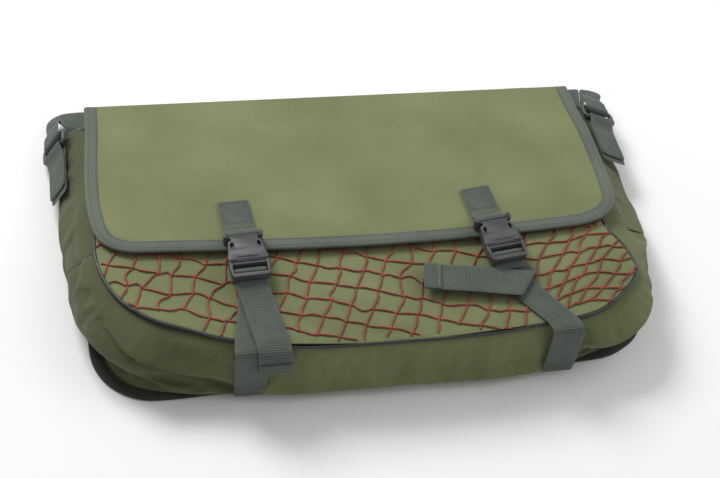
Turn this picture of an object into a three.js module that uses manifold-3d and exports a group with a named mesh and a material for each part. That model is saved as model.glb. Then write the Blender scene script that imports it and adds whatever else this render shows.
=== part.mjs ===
// Net-fronted shoulder bag, lying on its back panel: a flap closed by two side-release
// buckles, a net pocket on the front, gusseted sides and a webbing shoulder strap.
// Millimetres, +Z up. +X is the wearer's left, +Y runs from the bag's bottom to its mouth.
// The origin is on the back panel's outer face, which lies in the plane z = 0.
import * as THREE from 'three';
import { mergeVertices } from 'three/addons/utils/BufferGeometryUtils.js';
import Module from 'manifold-3d';

const wasm = await Module();
wasm.setup();

// ---------- driving dimensions ----------
const GAP = 0.3; // clearance between pieces that touch
const WALL = 2; // coated fabric with its lining

const BACK_HALF_WIDTH = 248;
const BACK_BOTTOM = -161;
const BACK_TOP = 156;
const BACK_CORNER = 52;
const FLANGE = 8; // seam allowance that stands out past the gusset
const BINDING_TAPE = 1.2; // thickness of the folded binding tape

const FRONT_HALF_WIDTH = BACK_HALF_WIDTH - 10;
const FRONT_BOTTOM = -158.5;
const FRONT_CORNER_LEFT = 100;
const FRONT_CORNER_RIGHT = 60;
const MOUTH_Y = 140; // the gussets' and the front panel's upper edge
const SEAM_Y = -38; // side gussets meet the bottom gusset here
const DEPTH = 66; // thickness of the bag at its bottom
const CREST_Y = -60; // from here the front slopes down to the mouth
const CREST_ROUND = 30;
const SLOPE = 0.1285; // fall of the front and of the flap towards the mouth
const BULGE_LEFT = 30; // how far each gusset stands out between its two seams
const BULGE_RIGHT = 38;
const BULGE_BOTTOM = 8;
const PIPING_RADIUS = 2.4;
const NET_THICKNESS = 1;
const NET_TOP_Y = 60;
const NET_INSET = 3;
const NET_CORD = 2; // side of the cord along the net's upper edge

const FOLD_Y = 158;
const FLAP_LIFT = 5.013; // of the flap's outer face over the front's slope
const FOLD_Z = DEPTH - SLOPE * (FOLD_Y - CREST_Y) + FLAP_LIFT; // top of the fold
const FLAP_HALF_WIDTH = BACK_HALF_WIDTH - 2;
const FLAP_LENGTH = 216.6;
const FLAP_CORNER = 42;
const FLAP_BOW = 13; // how much further the middle of the lower edge reaches
const FLAP_PLY = 1; // outer fabric, and the lining, one ply each
const FLAP_BINDING_WIDTH = 12;

const WEBBING_WIDTH = 29;
const WEBBING_THICKNESS = 1.5;
const FLAP_EDGE_Y = FOLD_Y - FLAP_LENGTH;
const TAB_TOP_Y = FLAP_EDGE_Y + 67.6; // upper end of the webbing that holds a buckle

const BUCKLE_FACE_Z = DEPTH + 6.2; // underside of both buckles
const BUCKLE_HEIGHT = 10.5;
const SOCKET_LENGTH = 32;
const SOCKET_HALF_WIDTH = 17.4;
const FRAME_LENGTH = 17.7;
const SHELL = 2; // moulded wall of the socket
const BUCKLE_BAR_RADIUS = 1.7;
const PRONG_LENGTH = 23;
const PRONG_HEIGHT = 5;
const LEFT_BUCKLE = { x: -113.6, y: FLAP_EDGE_Y + 16.3, turn: 3.5 };
const RIGHT_BUCKLE = { x: 111.8, y: FLAP_EDGE_Y + 17.1, turn: 8 };

const SIDE_TAB_LENGTH = 62;
const SIDE_TAB_END_Y = 118;
const RING_ROD_RADIUS = 2.2;
const RING_REACH = 15; // between the ring's two long bars
const LEFT_TAB_HEIGHT = 0.55; // share of the gusset's height at the tab's middle
const RIGHT_TAB_HEIGHT = 0.72;

const STRAP_LAY_Y = 176; // the shoulder strap lies folded along this line behind the bag
const STRAP_FOLD_LEFT = 48 - BACK_HALF_WIDTH; // where the folded stack ends on either side
const STRAP_FOLD_RIGHT = BACK_HALF_WIDTH - 108;
const STRAP_LIFT = 1.4; // middle of the lowest layer above the ground

// ---------- materials ----------
const finish = (color, roughness, metalness = 0) =>
  new THREE.MeshStandardMaterial({ color, roughness, metalness });
const OLIVE = finish(0x7b8456, 0.8);
const OLIVE_DARK = finish(0x62703c, 0.82);
const LINING = finish(0x4a5238, 0.85);
const TAPE = finish(0x66756a, 0.85);
const WEBBING = finish(0x566358, 0.85);
const TWINE = finish(0x8c3b2e, 0.7);
const PLASTIC = finish(0x3d3d42, 0.45);
const PIPING = finish(0x35363a, 0.4);

// ---------- helpers ----------
const { sin, cos, sqrt, PI } = Math;
const lerp = THREE.MathUtils.lerp;
const vec = (x, y, z) => new THREE.Vector3(x, y, z);

function signedVolume(geometry) {
  const at = geometry.getAttribute('position');
  const index = geometry.getIndex();
  const corners = [vec(), vec(), vec()];
  let sum = 0;
  for (let i = 0; i < index.count; i += 3) {
    corners.forEach((corner, k) => corner.fromBufferAttribute(at, index.getX(i + k)));
    sum += corners[0].dot(corners[1].clone().cross(corners[2]));
  }
  return sum;
}

// Shares the vertices of a closed mesh and turns its faces outwards.
function closed(geometry) {
  geometry.deleteAttribute('normal');
  geometry.deleteAttribute('uv');
  const merged = mergeVertices(geometry, 1e-4);
  if (signedVolume(merged) < 0) {
    const index = merged.getIndex();
    for (let i = 0; i < index.count; i += 3) {
      const swapped = index.getX(i);
      index.setX(i, index.getX(i + 1));
      index.setX(i + 1, swapped);
    }
  }
  merged.computeVertexNormals();
  return merged;
}

function toManifold(geometry) {
  const merged = closed(geometry);
  return new wasm.Manifold(new wasm.Mesh({
    numProp: 3,
    vertProperties: new Float32Array(merged.getAttribute('position').array),
    triVerts: new Uint32Array(merged.getIndex().array),
  }));
}

function fromManifold(manifold) {
  const mesh = manifold.getMesh();
  const geometry = new THREE.BufferGeometry();
  geometry.setAttribute('position', new THREE.Float32BufferAttribute(mesh.vertProperties, 3));
  geometry.setIndex(Array.from(mesh.triVerts));
  return closed(geometry);
}

// A sheet whose box coordinates (u, v, t), each from 0 to 1, are placed by the function at().
function sheet(stepsU, stepsV, at) {
  const box = new THREE.BoxGeometry(1, 1, 1, stepsU, stepsV, 1);
  const position = box.getAttribute('position');
  for (let i = 0; i < position.count; i++) {
    const u = position.getX(i) + 0.5;
    const v = position.getY(i) + 0.5;
    const t = position.getZ(i) + 0.5;
    position.setXYZ(i, ...at(u, v, t).toArray());
  }
  return closed(box);
}

// Webbing through stations { at, across }, each the middle of the band and its width's direction.
function webbing(stations, width = WEBBING_WIDTH, thickness = WEBBING_THICKNESS) {
  const last = stations.length - 1;
  const up = stations.map((station, i) => {
    const before = stations[Math.max(i - 1, 0)].at;
    const after = stations[Math.min(i + 1, last)].at;
    return after.clone().sub(before).cross(station.across).normalize();
  });
  return sheet(last, 1, (u, v, t) => {
    const i = Math.round(u * last);
    const { at, across } = stations[i];
    return at.clone().addScaledVector(across, (v - 0.5) * width)
      .addScaledVector(up[i], (t - 0.5) * thickness);
  });
}

// Stations along a smooth curve through points, the width's direction blended on the way.
function alongCurve(points, acrossStart, acrossEnd, steps, squareness = (s) => s) {
  const curve = new THREE.CatmullRomCurve3(points, false, 'centripetal');
  return curve.getSpacedPoints(steps).map((at, i) => {
    const share = squareness(i / steps);
    return { at, across: acrossStart.clone().lerp(acrossEnd, share).normalize() };
  });
}

function boxBetween(low, high) {
  const size = high.map((value, i) => value - low[i]);
  const middle = high.map((value, i) => (value + low[i]) / 2);
  return new THREE.BoxGeometry(...size).translate(...middle);
}

function extruded(shape, depth, low = 0, curveSegments = 8) {
  const options = { depth, bevelEnabled: false, curveSegments };
  return new THREE.ExtrudeGeometry(shape, options).translate(0, 0, low);
}

// A profile of [outward, upward] points swept along a level path that runs counter-clockwise.
function sweptLevel(points, profile, steps) {
  const shape = new THREE.Shape(profile.map(([out, up]) => new THREE.Vector2(-up, -out)));
  const extrudePath = new THREE.CatmullRomCurve3(points, false, 'centripetal');
  return closed(new THREE.ExtrudeGeometry(shape, { steps, bevelEnabled: false, extrudePath }));
}

const group = new THREE.Group();

function add(name, geometry, material, parent = group) {
  const mesh = new THREE.Mesh(geometry, material);
  mesh.name = name;
  parent.add(mesh);
  return mesh;
}

// ---------- body ----------
// Height of the front panel's outer face: level at the bottom, then falling to the mouth.
function frontHeight(y) {
  const past = y - CREST_Y;
  return DEPTH - SLOPE * (past + sqrt(past * past + CREST_ROUND * CREST_ROUND)) / 2;
}

// The U that a panel's edge makes from the left seam round the bottom to the right seam.
// share runs from 0 to 1; each side, corner and the bottom has its own fixed part of it.
const CORNER_START = 0.14;
const CORNER_END = 0.36;
function edgeU(share, halfWidth, bottom, cornerLeft, cornerRight, seam) {
  const mirrored = share > 0.5;
  const along = mirrored ? 1 - share : share;
  const corner = mirrored ? cornerRight : cornerLeft;
  const side = mirrored ? 1 : -1;
  let x = halfWidth;
  let y = lerp(seam, bottom + corner, along / CORNER_START);
  let angle = 0;
  if (along > CORNER_END) {
    const middle = (cornerLeft - cornerRight) / 2 * side;
    x = lerp(halfWidth - corner, middle, (along - CORNER_END) / (0.5 - CORNER_END));
    y = bottom;
    angle = PI / 2;
  } else if (along > CORNER_START) {
    angle = (along - CORNER_START) / (CORNER_END - CORNER_START) * PI / 2;
    x = halfWidth - corner + corner * cos(angle);
    y = bottom + corner - corner * sin(angle);
  }
  return { x: side * x, y, outX: side * cos(angle), outY: -sin(angle) };
}

const FOOT_HALF_WIDTH = BACK_HALF_WIDTH - FLANGE;
const FOOT_BOTTOM = BACK_BOTTOM + FLANGE;
const FOOT_CORNER = BACK_CORNER - FLANGE;
const FOOT_Z = WALL + GAP;
const rimHeight = (y) => frontHeight(y) - 2 * PIPING_RADIUS - GAP;

// A point of the bottom gusset: share along the U, rise from the foot to the rim, depth inwards.
function bottomGussetPoint(share, rise, depth) {
  const foot = edgeU(share, FOOT_HALF_WIDTH, FOOT_BOTTOM, FOOT_CORNER, FOOT_CORNER, SEAM_Y);
  const rim = edgeU(share, FRONT_HALF_WIDTH, FRONT_BOTTOM,
    FRONT_CORNER_LEFT, FRONT_CORNER_RIGHT, SEAM_Y);
  const sideBulge = share < 0.5 ? BULGE_LEFT : BULGE_RIGHT;
  const bulge = lerp(BULGE_BOTTOM, sideBulge, foot.outX * foot.outX) * sin(PI * rise);
  const z = lerp(FOOT_Z, rimHeight(rim.y), rise);
  const x = lerp(foot.x, rim.x, rise) + foot.outX * (bulge - depth);
  return vec(x, lerp(foot.y, rim.y, rise) + foot.outY * (bulge - depth), z);
}

function sideGussetPoint(side, y, rise, depth) {
  const bulge = (side < 0 ? BULGE_LEFT : BULGE_RIGHT) * sin(PI * rise);
  const x = lerp(FOOT_HALF_WIDTH, FRONT_HALF_WIDTH, rise) + bulge - depth;
  return vec(side * x, y, lerp(FOOT_Z, rimHeight(y), rise));
}

// The back panel, flat, with its two rounded lower corners.
function backPanelOutline() {
  const shape = new THREE.Shape();
  shape.moveTo(-BACK_HALF_WIDTH, BACK_TOP);
  shape.lineTo(-BACK_HALF_WIDTH, BACK_BOTTOM + BACK_CORNER);
  shape.absarc(-BACK_HALF_WIDTH + BACK_CORNER, BACK_BOTTOM + BACK_CORNER, BACK_CORNER,
    PI, 1.5 * PI, false);
  shape.absarc(BACK_HALF_WIDTH - BACK_CORNER, BACK_BOTTOM + BACK_CORNER, BACK_CORNER,
    1.5 * PI, 2 * PI, false);
  shape.lineTo(BACK_HALF_WIDTH, BACK_TOP);
  return shape;
}
add('back_panel', closed(extruded(backPanelOutline(), WALL)), OLIVE_DARK);

// The tape that binds the seam allowance all round the back panel's edge.
const TAPE_LIP = 2.4;
const backEdge = Array.from({ length: 61 }, (_, i) => {
  const p = edgeU(i / 60, BACK_HALF_WIDTH, BACK_BOTTOM, BACK_CORNER, BACK_CORNER, MOUTH_Y);
  return vec(p.x, p.y, 0);
});
const tapeTop = WALL + GAP + BINDING_TAPE;
const backTape = [
  [GAP, 0], [GAP + BINDING_TAPE, 0], [GAP + BINDING_TAPE, tapeTop],
  [-TAPE_LIP, tapeTop], [-TAPE_LIP, WALL + GAP], [GAP, WALL + GAP],
];
add('back_seam_binding', sweptLevel(backEdge, backTape, 110), TAPE);

const GUSSET_RISE_STEPS = 8;
add('bottom_gusset', sheet(44, GUSSET_RISE_STEPS, (u, v, t) =>
  bottomGussetPoint(u, v, t * WALL)), OLIVE_DARK);

// The folded tape that finishes a gusset's upper edge.
const RIM_TAPE_LENGTH = 3;
for (const [side, name] of [[-1, 'left'], [1, 'right']]) {
  add(`${name}_side_gusset`, sheet(6, GUSSET_RISE_STEPS, (u, v, t) =>
    sideGussetPoint(side, lerp(SEAM_Y + GAP, MOUTH_Y, u), v, t * WALL)), OLIVE_DARK);
  add(`${name}_mouth_binding`, sheet(1, GUSSET_RISE_STEPS, (u, v, t) =>
    sideGussetPoint(side, MOUTH_Y + GAP + u * RIM_TAPE_LENGTH, lerp(0.02, 0.97, v),
      lerp(-BINDING_TAPE, WALL + BINDING_TAPE, t))), TAPE);
}

// A piece that lies on the front: half widths follow the panel's corners, inset by a margin.
function frontSheet(inset, top, low, high, stepsU = 4) {
  const bottom = FRONT_BOTTOM + inset;
  const halfWidthAt = (y, corner) => {
    const radius = corner - inset;
    const below = Math.max(radius - (y - bottom), 0);
    return FRONT_HALF_WIDTH - inset - radius + sqrt(radius * radius - below * below);
  };
  const reach = FRONT_CORNER_LEFT - inset;
  const rowAt = (v) => (v < 0.5
    ? bottom + reach * (1 - cos(v * PI))
    : lerp(bottom + reach, top, (v - 0.5) * 2));
  return sheet(stepsU, 28, (u, v, t) => {
    const y = rowAt(v);
    const left = -halfWidthAt(y, FRONT_CORNER_LEFT);
    const right = halfWidthAt(y, FRONT_CORNER_RIGHT);
    return vec(lerp(left, right, u), y, frontHeight(y) + lerp(low, high, t));
  });
}
add('front_panel', frontSheet(0, MOUTH_Y, -WALL, 0), OLIVE);

const hemY = MOUTH_Y + GAP;
const hemZ = frontHeight(MOUTH_Y);
const hem = boxBetween([-FRONT_HALF_WIDTH + 2, hemY, hemZ - WALL - BINDING_TAPE],
  [FRONT_HALF_WIDTH - 2, hemY + RIM_TAPE_LENGTH, hemZ + GAP]);
add('front_mouth_hem', closed(hem), TAPE);

// Piping in the seam between the front panel and the gussets.
const pipingOffset = PIPING_RADIUS + GAP;
const pipingLine = Array.from({ length: 71 }, (_, i) => {
  const p = edgeU(i / 70, FRONT_HALF_WIDTH, FRONT_BOTTOM,
    FRONT_CORNER_LEFT, FRONT_CORNER_RIGHT, MOUTH_Y);
  const x = p.x + p.outX * pipingOffset;
  const y = p.y + p.outY * pipingOffset;
  return vec(x, y, frontHeight(p.y) - PIPING_RADIUS);
});
const round = new THREE.Shape(new THREE.Path().absarc(0, 0, PIPING_RADIUS, 0, 2 * PI).getPoints(4));
add('front_piping', closed(new THREE.ExtrudeGeometry(round, {
  steps: Math.ceil(FRONT_HALF_WIDTH / 3.6),
  bevelEnabled: false,
  extrudePath: new THREE.CatmullRomCurve3(pipingLine, false, 'centripetal'),
})), PIPING);

// The net pocket lies flat on the front panel; its upper edge has a cord run through it.
add('pocket_net', frontSheet(NET_INSET, NET_TOP_Y, GAP, GAP + NET_THICKNESS), TWINE);
const netCordLow = frontHeight(NET_TOP_Y) + GAP;
const netCordEnd = FRONT_HALF_WIDTH - NET_INSET - 2;
const netCord = boxBetween([-netCordEnd, NET_TOP_Y + GAP, netCordLow],
  [netCordEnd, NET_TOP_Y + GAP + NET_CORD, netCordLow + NET_CORD]);
add('net_top_cord', closed(netCord), TWINE);

// ---------- flap ----------
const flapRootTop = FOLD_Z - 2 * (FLAP_PLY + BINDING_TAPE + GAP) - GAP;
const flapRoot = boxBetween([-FLAP_HALF_WIDTH + 2, BACK_TOP + GAP, 0.4],
  [FLAP_HALF_WIDTH - 2, BACK_TOP + GAP + WALL, flapRootTop]);
add('flap_root', closed(flapRoot), OLIVE);

// The flap is flat in its own frame: local -Y runs from the fold to the lower edge.
const flap = new THREE.Group();
flap.position.set(0, FOLD_Y, FOLD_Z);
flap.rotation.x = -Math.atan(SLOPE);
group.add(flap);
const outerTop = 0;
const outerLow = outerTop - FLAP_PLY;
const liningTop = outerLow - GAP;
const liningLow = liningTop - FLAP_PLY;

function flapOutline(inset) {
  const half = FLAP_HALF_WIDTH - inset;
  const corner = FLAP_CORNER - inset;
  const low = -(FLAP_LENGTH - FLAP_BOW - inset);
  const shape = new THREE.Shape();
  shape.moveTo(-half, -0.6);
  shape.lineTo(-half, low + corner);
  shape.absarc(-half + corner, low + corner, corner, PI, 1.5 * PI, false);
  shape.quadraticCurveTo(0, low - 2 * FLAP_BOW, half - corner, low);
  shape.absarc(half - corner, low + corner, corner, 1.5 * PI, 2 * PI, false);
  shape.lineTo(half, -0.6);
  return shape;
}
const clothInset = BINDING_TAPE + GAP;
add('flap_outer', closed(extruded(flapOutline(clothInset), FLAP_PLY, outerLow)), OLIVE, flap);
add('flap_lining', closed(extruded(flapOutline(clothInset), FLAP_PLY, liningLow)), LINING, flap);

const flapEdge = flapOutline(0).getSpacedPoints(100).slice(0, -1);
const openEdge = flapEdge.filter((p) => p.y < -1 || Math.abs(p.x) > FLAP_HALF_WIDTH - 0.1)
  .map((p) => vec(p.x, p.y, 0));
const legTop = outerTop + GAP + BINDING_TAPE;
const legLow = liningLow - GAP - BINDING_TAPE;
const flapTape = [
  [0, legLow], [0, legTop], [-FLAP_BINDING_WIDTH, legTop],
  [-FLAP_BINDING_WIDTH, outerTop + GAP], [-BINDING_TAPE, outerTop + GAP],
  [-BINDING_TAPE, liningLow - GAP], [-FLAP_BINDING_WIDTH, liningLow - GAP],
  [-FLAP_BINDING_WIDTH, legLow],
];
add('flap_binding', sweptLevel(openEdge, flapTape, Math.ceil(FLAP_HALF_WIDTH / 2.5)), TAPE, flap);

// ---------- buckles ----------
// A buckle's own frame: origin in the middle of the socket's top edge on its underside,
// +Y towards the flap's fold, +Z up. Its plug points along +Y.
function buckleFrame({ x, y, turn }) {
  const frame = new THREE.Group();
  frame.position.set(x, y, BUCKLE_FACE_Z);
  frame.rotation.z = THREE.MathUtils.degToRad(turn);
  group.add(frame);
  frame.updateMatrixWorld(true);
  return frame;
}

const SLOT_LOW = -6; // the socket's webbing slot, past its bar
const BAR_WIDTH = 2.8;
const LATCH_Y = -13; // the latching ends of the socket's side walls
const CAVITY_HALF = 12.6;
const WAIST_HALF = 12.6; // the socket's narrowest outline, beside the prongs' pads
const TONGUE_HALF = 4.4;

function socketGeometry() {
  const outline = new THREE.Shape();
  const half = SOCKET_HALF_WIDTH;
  outline.moveTo(-half + 2, 0);
  outline.quadraticCurveTo(-half, 0, -half, -2);
  outline.lineTo(-half, SLOT_LOW + 0.5);
  outline.quadraticCurveTo(-WAIST_HALF, SLOT_LOW - 0.5, -WAIST_HALF, SLOT_LOW - 4);
  outline.lineTo(-WAIST_HALF - 2, LATCH_Y);
  outline.quadraticCurveTo(-half + 2, LATCH_Y - 8, -half, -SOCKET_LENGTH + 5);
  outline.lineTo(-half, -SOCKET_LENGTH);
  outline.lineTo(half, -SOCKET_LENGTH);
  outline.lineTo(half, -SOCKET_LENGTH + 5);
  outline.quadraticCurveTo(half - 2, LATCH_Y - 8, WAIST_HALF + 2, LATCH_Y);
  outline.lineTo(WAIST_HALF, SLOT_LOW - 4);
  outline.quadraticCurveTo(WAIST_HALF, SLOT_LOW - 0.5, half, SLOT_LOW + 0.5);
  outline.lineTo(half, -2);
  outline.quadraticCurveTo(half, 0, half - 2, 0);
  const roof = BUCKLE_HEIGHT - SHELL;
  const slotHalf = WEBBING_WIDTH / 2 + 0.4;
  const cuts = [
    boxBetween([-CAVITY_HALF, -SOCKET_LENGTH - 1, SHELL], [CAVITY_HALF, SLOT_LOW - 2, roof]),
    boxBetween([-slotHalf, SLOT_LOW, -1], [slotHalf, -BAR_WIDTH, BUCKLE_HEIGHT + 1]),
    boxBetween([-slotHalf, -BAR_WIDTH - 1, BUCKLE_HEIGHT - 3.5], [slotHalf, 1, BUCKLE_HEIGHT + 1]),
    boxBetween([-slotHalf, -BAR_WIDTH - 1, -1], [slotHalf, 1, 3]),
  ];
  for (const side of [-1, 1]) {
    const window = [side * (CAVITY_HALF - 1), side * (SOCKET_HALF_WIDTH + 1)].sort((a, b) => a - b);
    cuts.push(boxBetween([window[0], LATCH_Y, SHELL - 0.2],
      [window[1], SLOT_LOW - 0.4, roof + 0.2]));
    const eyelet = new THREE.CylinderGeometry(1.4, 1.4, 3, 14).rotateX(PI / 2);
    cuts.push(eyelet.scale(1, 2, 1).translate(side * (WAIST_HALF - 1.5), -15.5, roof + 1.2));
  }
  const body = toManifold(extruded(outline, BUCKLE_HEIGHT));
  return fromManifold(cuts.reduce((left, cut) => left.subtract(toManifold(cut)), body));
}

const FRAME_TOP = -SOCKET_LENGTH - GAP;
const FRAME_LOW = FRAME_TOP - FRAME_LENGTH;
const WINDOW_TOP = FRAME_TOP - 4;
const WINDOW_LOW = FRAME_LOW + 3.6;
const BAR_Y = (WINDOW_TOP + WINDOW_LOW) / 2 - 0.3;
const BAR_Z = 4.75;

function plugGeometry() {
  const outline = new THREE.Shape();
  const half = SOCKET_HALF_WIDTH;
  outline.moveTo(-half, FRAME_TOP);
  outline.lineTo(-half + 0.9, FRAME_LOW + 3);
  outline.quadraticCurveTo(-half + 1, FRAME_LOW, -half + 4, FRAME_LOW);
  outline.lineTo(half - 4, FRAME_LOW);
  outline.quadraticCurveTo(half - 1, FRAME_LOW, half - 0.9, FRAME_LOW + 3);
  outline.lineTo(half, FRAME_TOP);
  const slotHalf = WEBBING_WIDTH / 2 + 0.4;
  const window = boxBetween([-slotHalf, WINDOW_LOW, -1], [slotHalf, WINDOW_TOP, BUCKLE_HEIGHT]);
  const passage = boxBetween([-slotHalf, FRAME_LOW - 1, -1], [slotHalf, WINDOW_LOW + 1, 3.4]);
  const bar = new THREE.CylinderGeometry(BUCKLE_BAR_RADIUS, BUCKLE_BAR_RADIUS,
    2 * slotHalf + 1, 16).rotateZ(PI / 2).translate(0, BAR_Y, BAR_Z);
  const tongue = boxBetween([-TONGUE_HALF, FRAME_TOP - 1, 3.5], [TONGUE_HALF, LATCH_Y, 7]);
  const frame = toManifold(extruded(outline, BUCKLE_HEIGHT - 2, 1));
  const open = frame.subtract(toManifold(window)).subtract(toManifold(passage));
  return fromManifold(open.add(toManifold(bar)).add(toManifold(tongue)));
}

// One springy side arm of a plug, ending in the pad that latches in the socket's window.
const PRONG_ROOT_X = 10.7;
const PRONG_ROOT_Y = -SOCKET_LENGTH;
function prongGeometry(side) {
  const tip = PRONG_ROOT_Y + PRONG_LENGTH;
  const shoulder = LATCH_Y + GAP;
  const outer = CAVITY_HALF - GAP;
  const outline = new THREE.Shape();
  outline.moveTo(side * (outer - 3), PRONG_ROOT_Y);
  outline.lineTo(side * outer, PRONG_ROOT_Y);
  outline.lineTo(side * outer, shoulder);
  outline.lineTo(side * (outer + 3), shoulder);
  outline.quadraticCurveTo(side * (outer + 3.6), tip + 2, side * (outer + 0.5), tip);
  outline.lineTo(side * (outer - 2), tip + 0.5);
  outline.lineTo(side * (outer - 3), shoulder - 3);
  return closed(extruded(outline, PRONG_HEIGHT, SHELL + 0.75));
}

// The band that holds a socket runs under the socket's bar, round it and back along the
// flap, both layers stitched down. These are its places in the buckle's own frame.
const tabLoop = [
  [6, -0.2], [2.5, 0.8], [-0.5, 1.6], [-3, 2], [-4.3, 3.6], [-4.3, 6.2],
  [-2.7, 8.1], [-0.4, 8.2], [1.3, 7.1], [2.7, 5.3], [6, 2.9],
];
const tabLower = GAP + WEBBING_THICKNESS / 2;
const tabUpper = tabLower + WEBBING_THICKNESS + GAP;
function flapTabPoints(frame) {
  flap.updateMatrixWorld(true);
  const onFlap = (x, y, lift) => flap.localToWorld(vec(x, y - FOLD_Y, outerTop + lift));
  const { x, y } = frame.position;
  const startX = x - 2;
  const middleX = x - 1;
  const run = 4 * (BUCKLE_FACE_Z - onFlap(x, y, 0).z); // length of the climb to the buckle
  const middleY = lerp(TAB_TOP_Y, y + run, 0.5);
  return [
    onFlap(startX, TAB_TOP_Y, tabLower), onFlap(middleX, middleY, tabLower),
    onFlap(x, y + run, tabLower + 0.5),
    ...tabLoop.map(([along, up]) => frame.localToWorld(vec(0, along, up))),
    onFlap(x, y + run - 1, tabUpper + 0.6), onFlap(middleX, middleY, tabUpper),
    onFlap(startX, TAB_TOP_Y, tabUpper),
  ];
}

// ---------- closure straps ----------
// The band comes up under the plug, round its bar through the window, and out again as a
// free tail. These are its places in the buckle's own frame.
const strapLoop = [
  [-62, -3.0], [-52, -1.5], [-46, -0.7], [-42, -0.5], [-39.9, 0.6], [-38.9, 3], [-39.2, 5.6],
  [-41, 7.3], [-43.2, 7.3], [-44.8, 5.6], [-45.3, 3.6], [-46.6, 2.2], [-50, 1.5], [-56, 0.5],
];
const loopShift = BAR_Y + 41.9;

function strapFixed(frame, footX, edgeX) {
  const underFlat = WEBBING_THICKNESS / 2 + GAP;
  const onFront = (x, y) => vec(x, y, frontHeight(y) + GAP + NET_THICKNESS + underFlat + 0.5);
  const gussetShare = (z) => (z - FOOT_Z) / (rimHeight(FRONT_BOTTOM) - FOOT_Z);
  const onGusset = (x, z) => {
    const rise = gussetShare(z);
    const wall = lerp(FOOT_BOTTOM, FRONT_BOTTOM, rise) - BULGE_BOTTOM * sin(PI * rise);
    return vec(x, wall - underFlat - 0.3, z);
  };
  const edgeOut = FRONT_BOTTOM - 2 * PIPING_RADIUS - GAP - underFlat - 0.4;
  const loop = strapLoop.map(([y, z]) => frame.localToWorld(vec(0, y + loopShift, z)));
  const below = loop[0];
  const backAt = (share) => lerp(FRONT_BOTTOM, below.y, share);
  return [
    onGusset(footX, 8), ...[0.22, 0.37, 0.5, 0.6].map((share) => onGusset(footX, share * DEPTH)),
    onGusset(lerp(footX, edgeX, 0.4), DEPTH - 18),
    vec(lerp(footX, edgeX, 0.7), edgeOut, DEPTH - 6), vec(edgeX, edgeOut + 0.3, DEPTH - 0.2),
    vec(edgeX, edgeOut + 3.6, DEPTH + 2.1), onFront(lerp(edgeX, below.x, 0.1), backAt(0.12)),
    onFront(lerp(edgeX, below.x, 0.5), backAt(0.5)),
    onFront(lerp(edgeX, below.x, 0.8), backAt(0.8)), ...loop,
  ];
}

const BUCKLES = [
  { name: 'left', place: LEFT_BUCKLE, footX: -118, edgeX: -118.5 },
  { name: 'right', place: RIGHT_BUCKLE, footX: 156.5, edgeX: 156 },
];
const acrossX = vec(1, 0, 0);
for (const { name, place, footX, edgeX } of BUCKLES) {
  const frame = buckleFrame(place);
  const across = acrossX.clone().applyAxisAngle(vec(0, 0, 1), frame.rotation.z);
  add(`${name}_buckle_socket`, socketGeometry(), PLASTIC, frame);
  add(`${name}_buckle_plug`, plugGeometry(), PLASTIC, frame);
  add(`${name}_buckle_prong_a`, prongGeometry(1), PLASTIC, frame);
  add(`${name}_buckle_prong_b`, prongGeometry(-1), PLASTIC, frame);
  add(`${name}_flap_tab`, webbing(alongCurve(flapTabPoints(frame), across, across, 60)), WEBBING);
  const fixed = alongCurve(strapFixed(frame, footX, edgeX), acrossX, across, 84,
    (s) => THREE.MathUtils.smoothstep(s, 0.2, 0.6));
  add(`${name}_closure_strap`, webbing(fixed), WEBBING);
}

// The free ends of the two closure straps: one hangs over the bottom edge, the other is
// turned back across the net.
const tailLift = GAP + NET_THICKNESS + 2 * (GAP + WEBBING_THICKNESS) + 1.6;
const tailOut = FRONT_BOTTOM - 2 * PIPING_RADIUS - GAP - 1.5 * WEBBING_THICKNESS - 2 * GAP - 1;
const leftTailAt = (dx, dy, lift) => {
  const y = LEFT_BUCKLE.y + dy;
  return vec(LEFT_BUCKLE.x + dx, y, frontHeight(y) + tailLift + lift);
};
const leftTail = [
  leftTailAt(4.2, -57.2, 1.3), leftTailAt(6.6, -72.7, 0),
  vec(-102, FRONT_BOTTOM + 13.5, frontHeight(FRONT_BOTTOM) + tailLift),
  vec(-100, FRONT_BOTTOM + 0.5, DEPTH + tailLift), vec(-99.2, tailOut + 2, DEPTH + 3.4),
  vec(-99, tailOut - 0.8, DEPTH - 1), vec(-98.7, tailOut - 2.2, DEPTH - 8),
  vec(-98.6, tailOut - 2.6, DEPTH - 16),
];
add('left_strap_tail', webbing(alongCurve(leftTail, acrossX, acrossX, 20)), WEBBING);
const rightTail = [[14.2, -73.5, 0.6], [-16.8, -67.5, 0], [-46.8, -59.5, 0], [-73.8, -51.5, 0]]
  .map(([dx, dy, lift]) => {
    const y = RIGHT_BUCKLE.y + dy;
    return vec(RIGHT_BUCKLE.x + dx, y, frontHeight(y) + tailLift + lift);
  });
const acrossTail = vec(0.24, 0.97, 0).normalize();
add('right_strap_tail', webbing(alongCurve(rightTail, acrossTail, acrossTail, 12), 22), WEBBING);

// ---------- side tabs and rings ----------
// A tab's own frame: origin on the gusset, X across the band, Y along it to the ring, Z out.
function sideFrame(side, rise) {
  const middleY = SIDE_TAB_END_Y - SIDE_TAB_LENGTH / 2;
  const middle = sideGussetPoint(side, middleY, rise, 0);
  const along = sideGussetPoint(side, middleY + 10, rise, 0).sub(middle).normalize();
  const upward = sideGussetPoint(side, middleY, rise + 0.05, 0).sub(middle).normalize();
  const out = side < 0 ? upward.clone().cross(along) : along.clone().cross(upward);
  out.multiplyScalar(-1).normalize();
  if (out.x * side < 0) {
    out.negate();
  }
  const across = along.clone().cross(out);
  const frame = new THREE.Group();
  frame.position.copy(middle);
  frame.quaternion.setFromRotationMatrix(new THREE.Matrix4().makeBasis(across, along, out));
  group.add(frame);
  frame.updateMatrixWorld(true);
  return frame;
}

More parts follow.
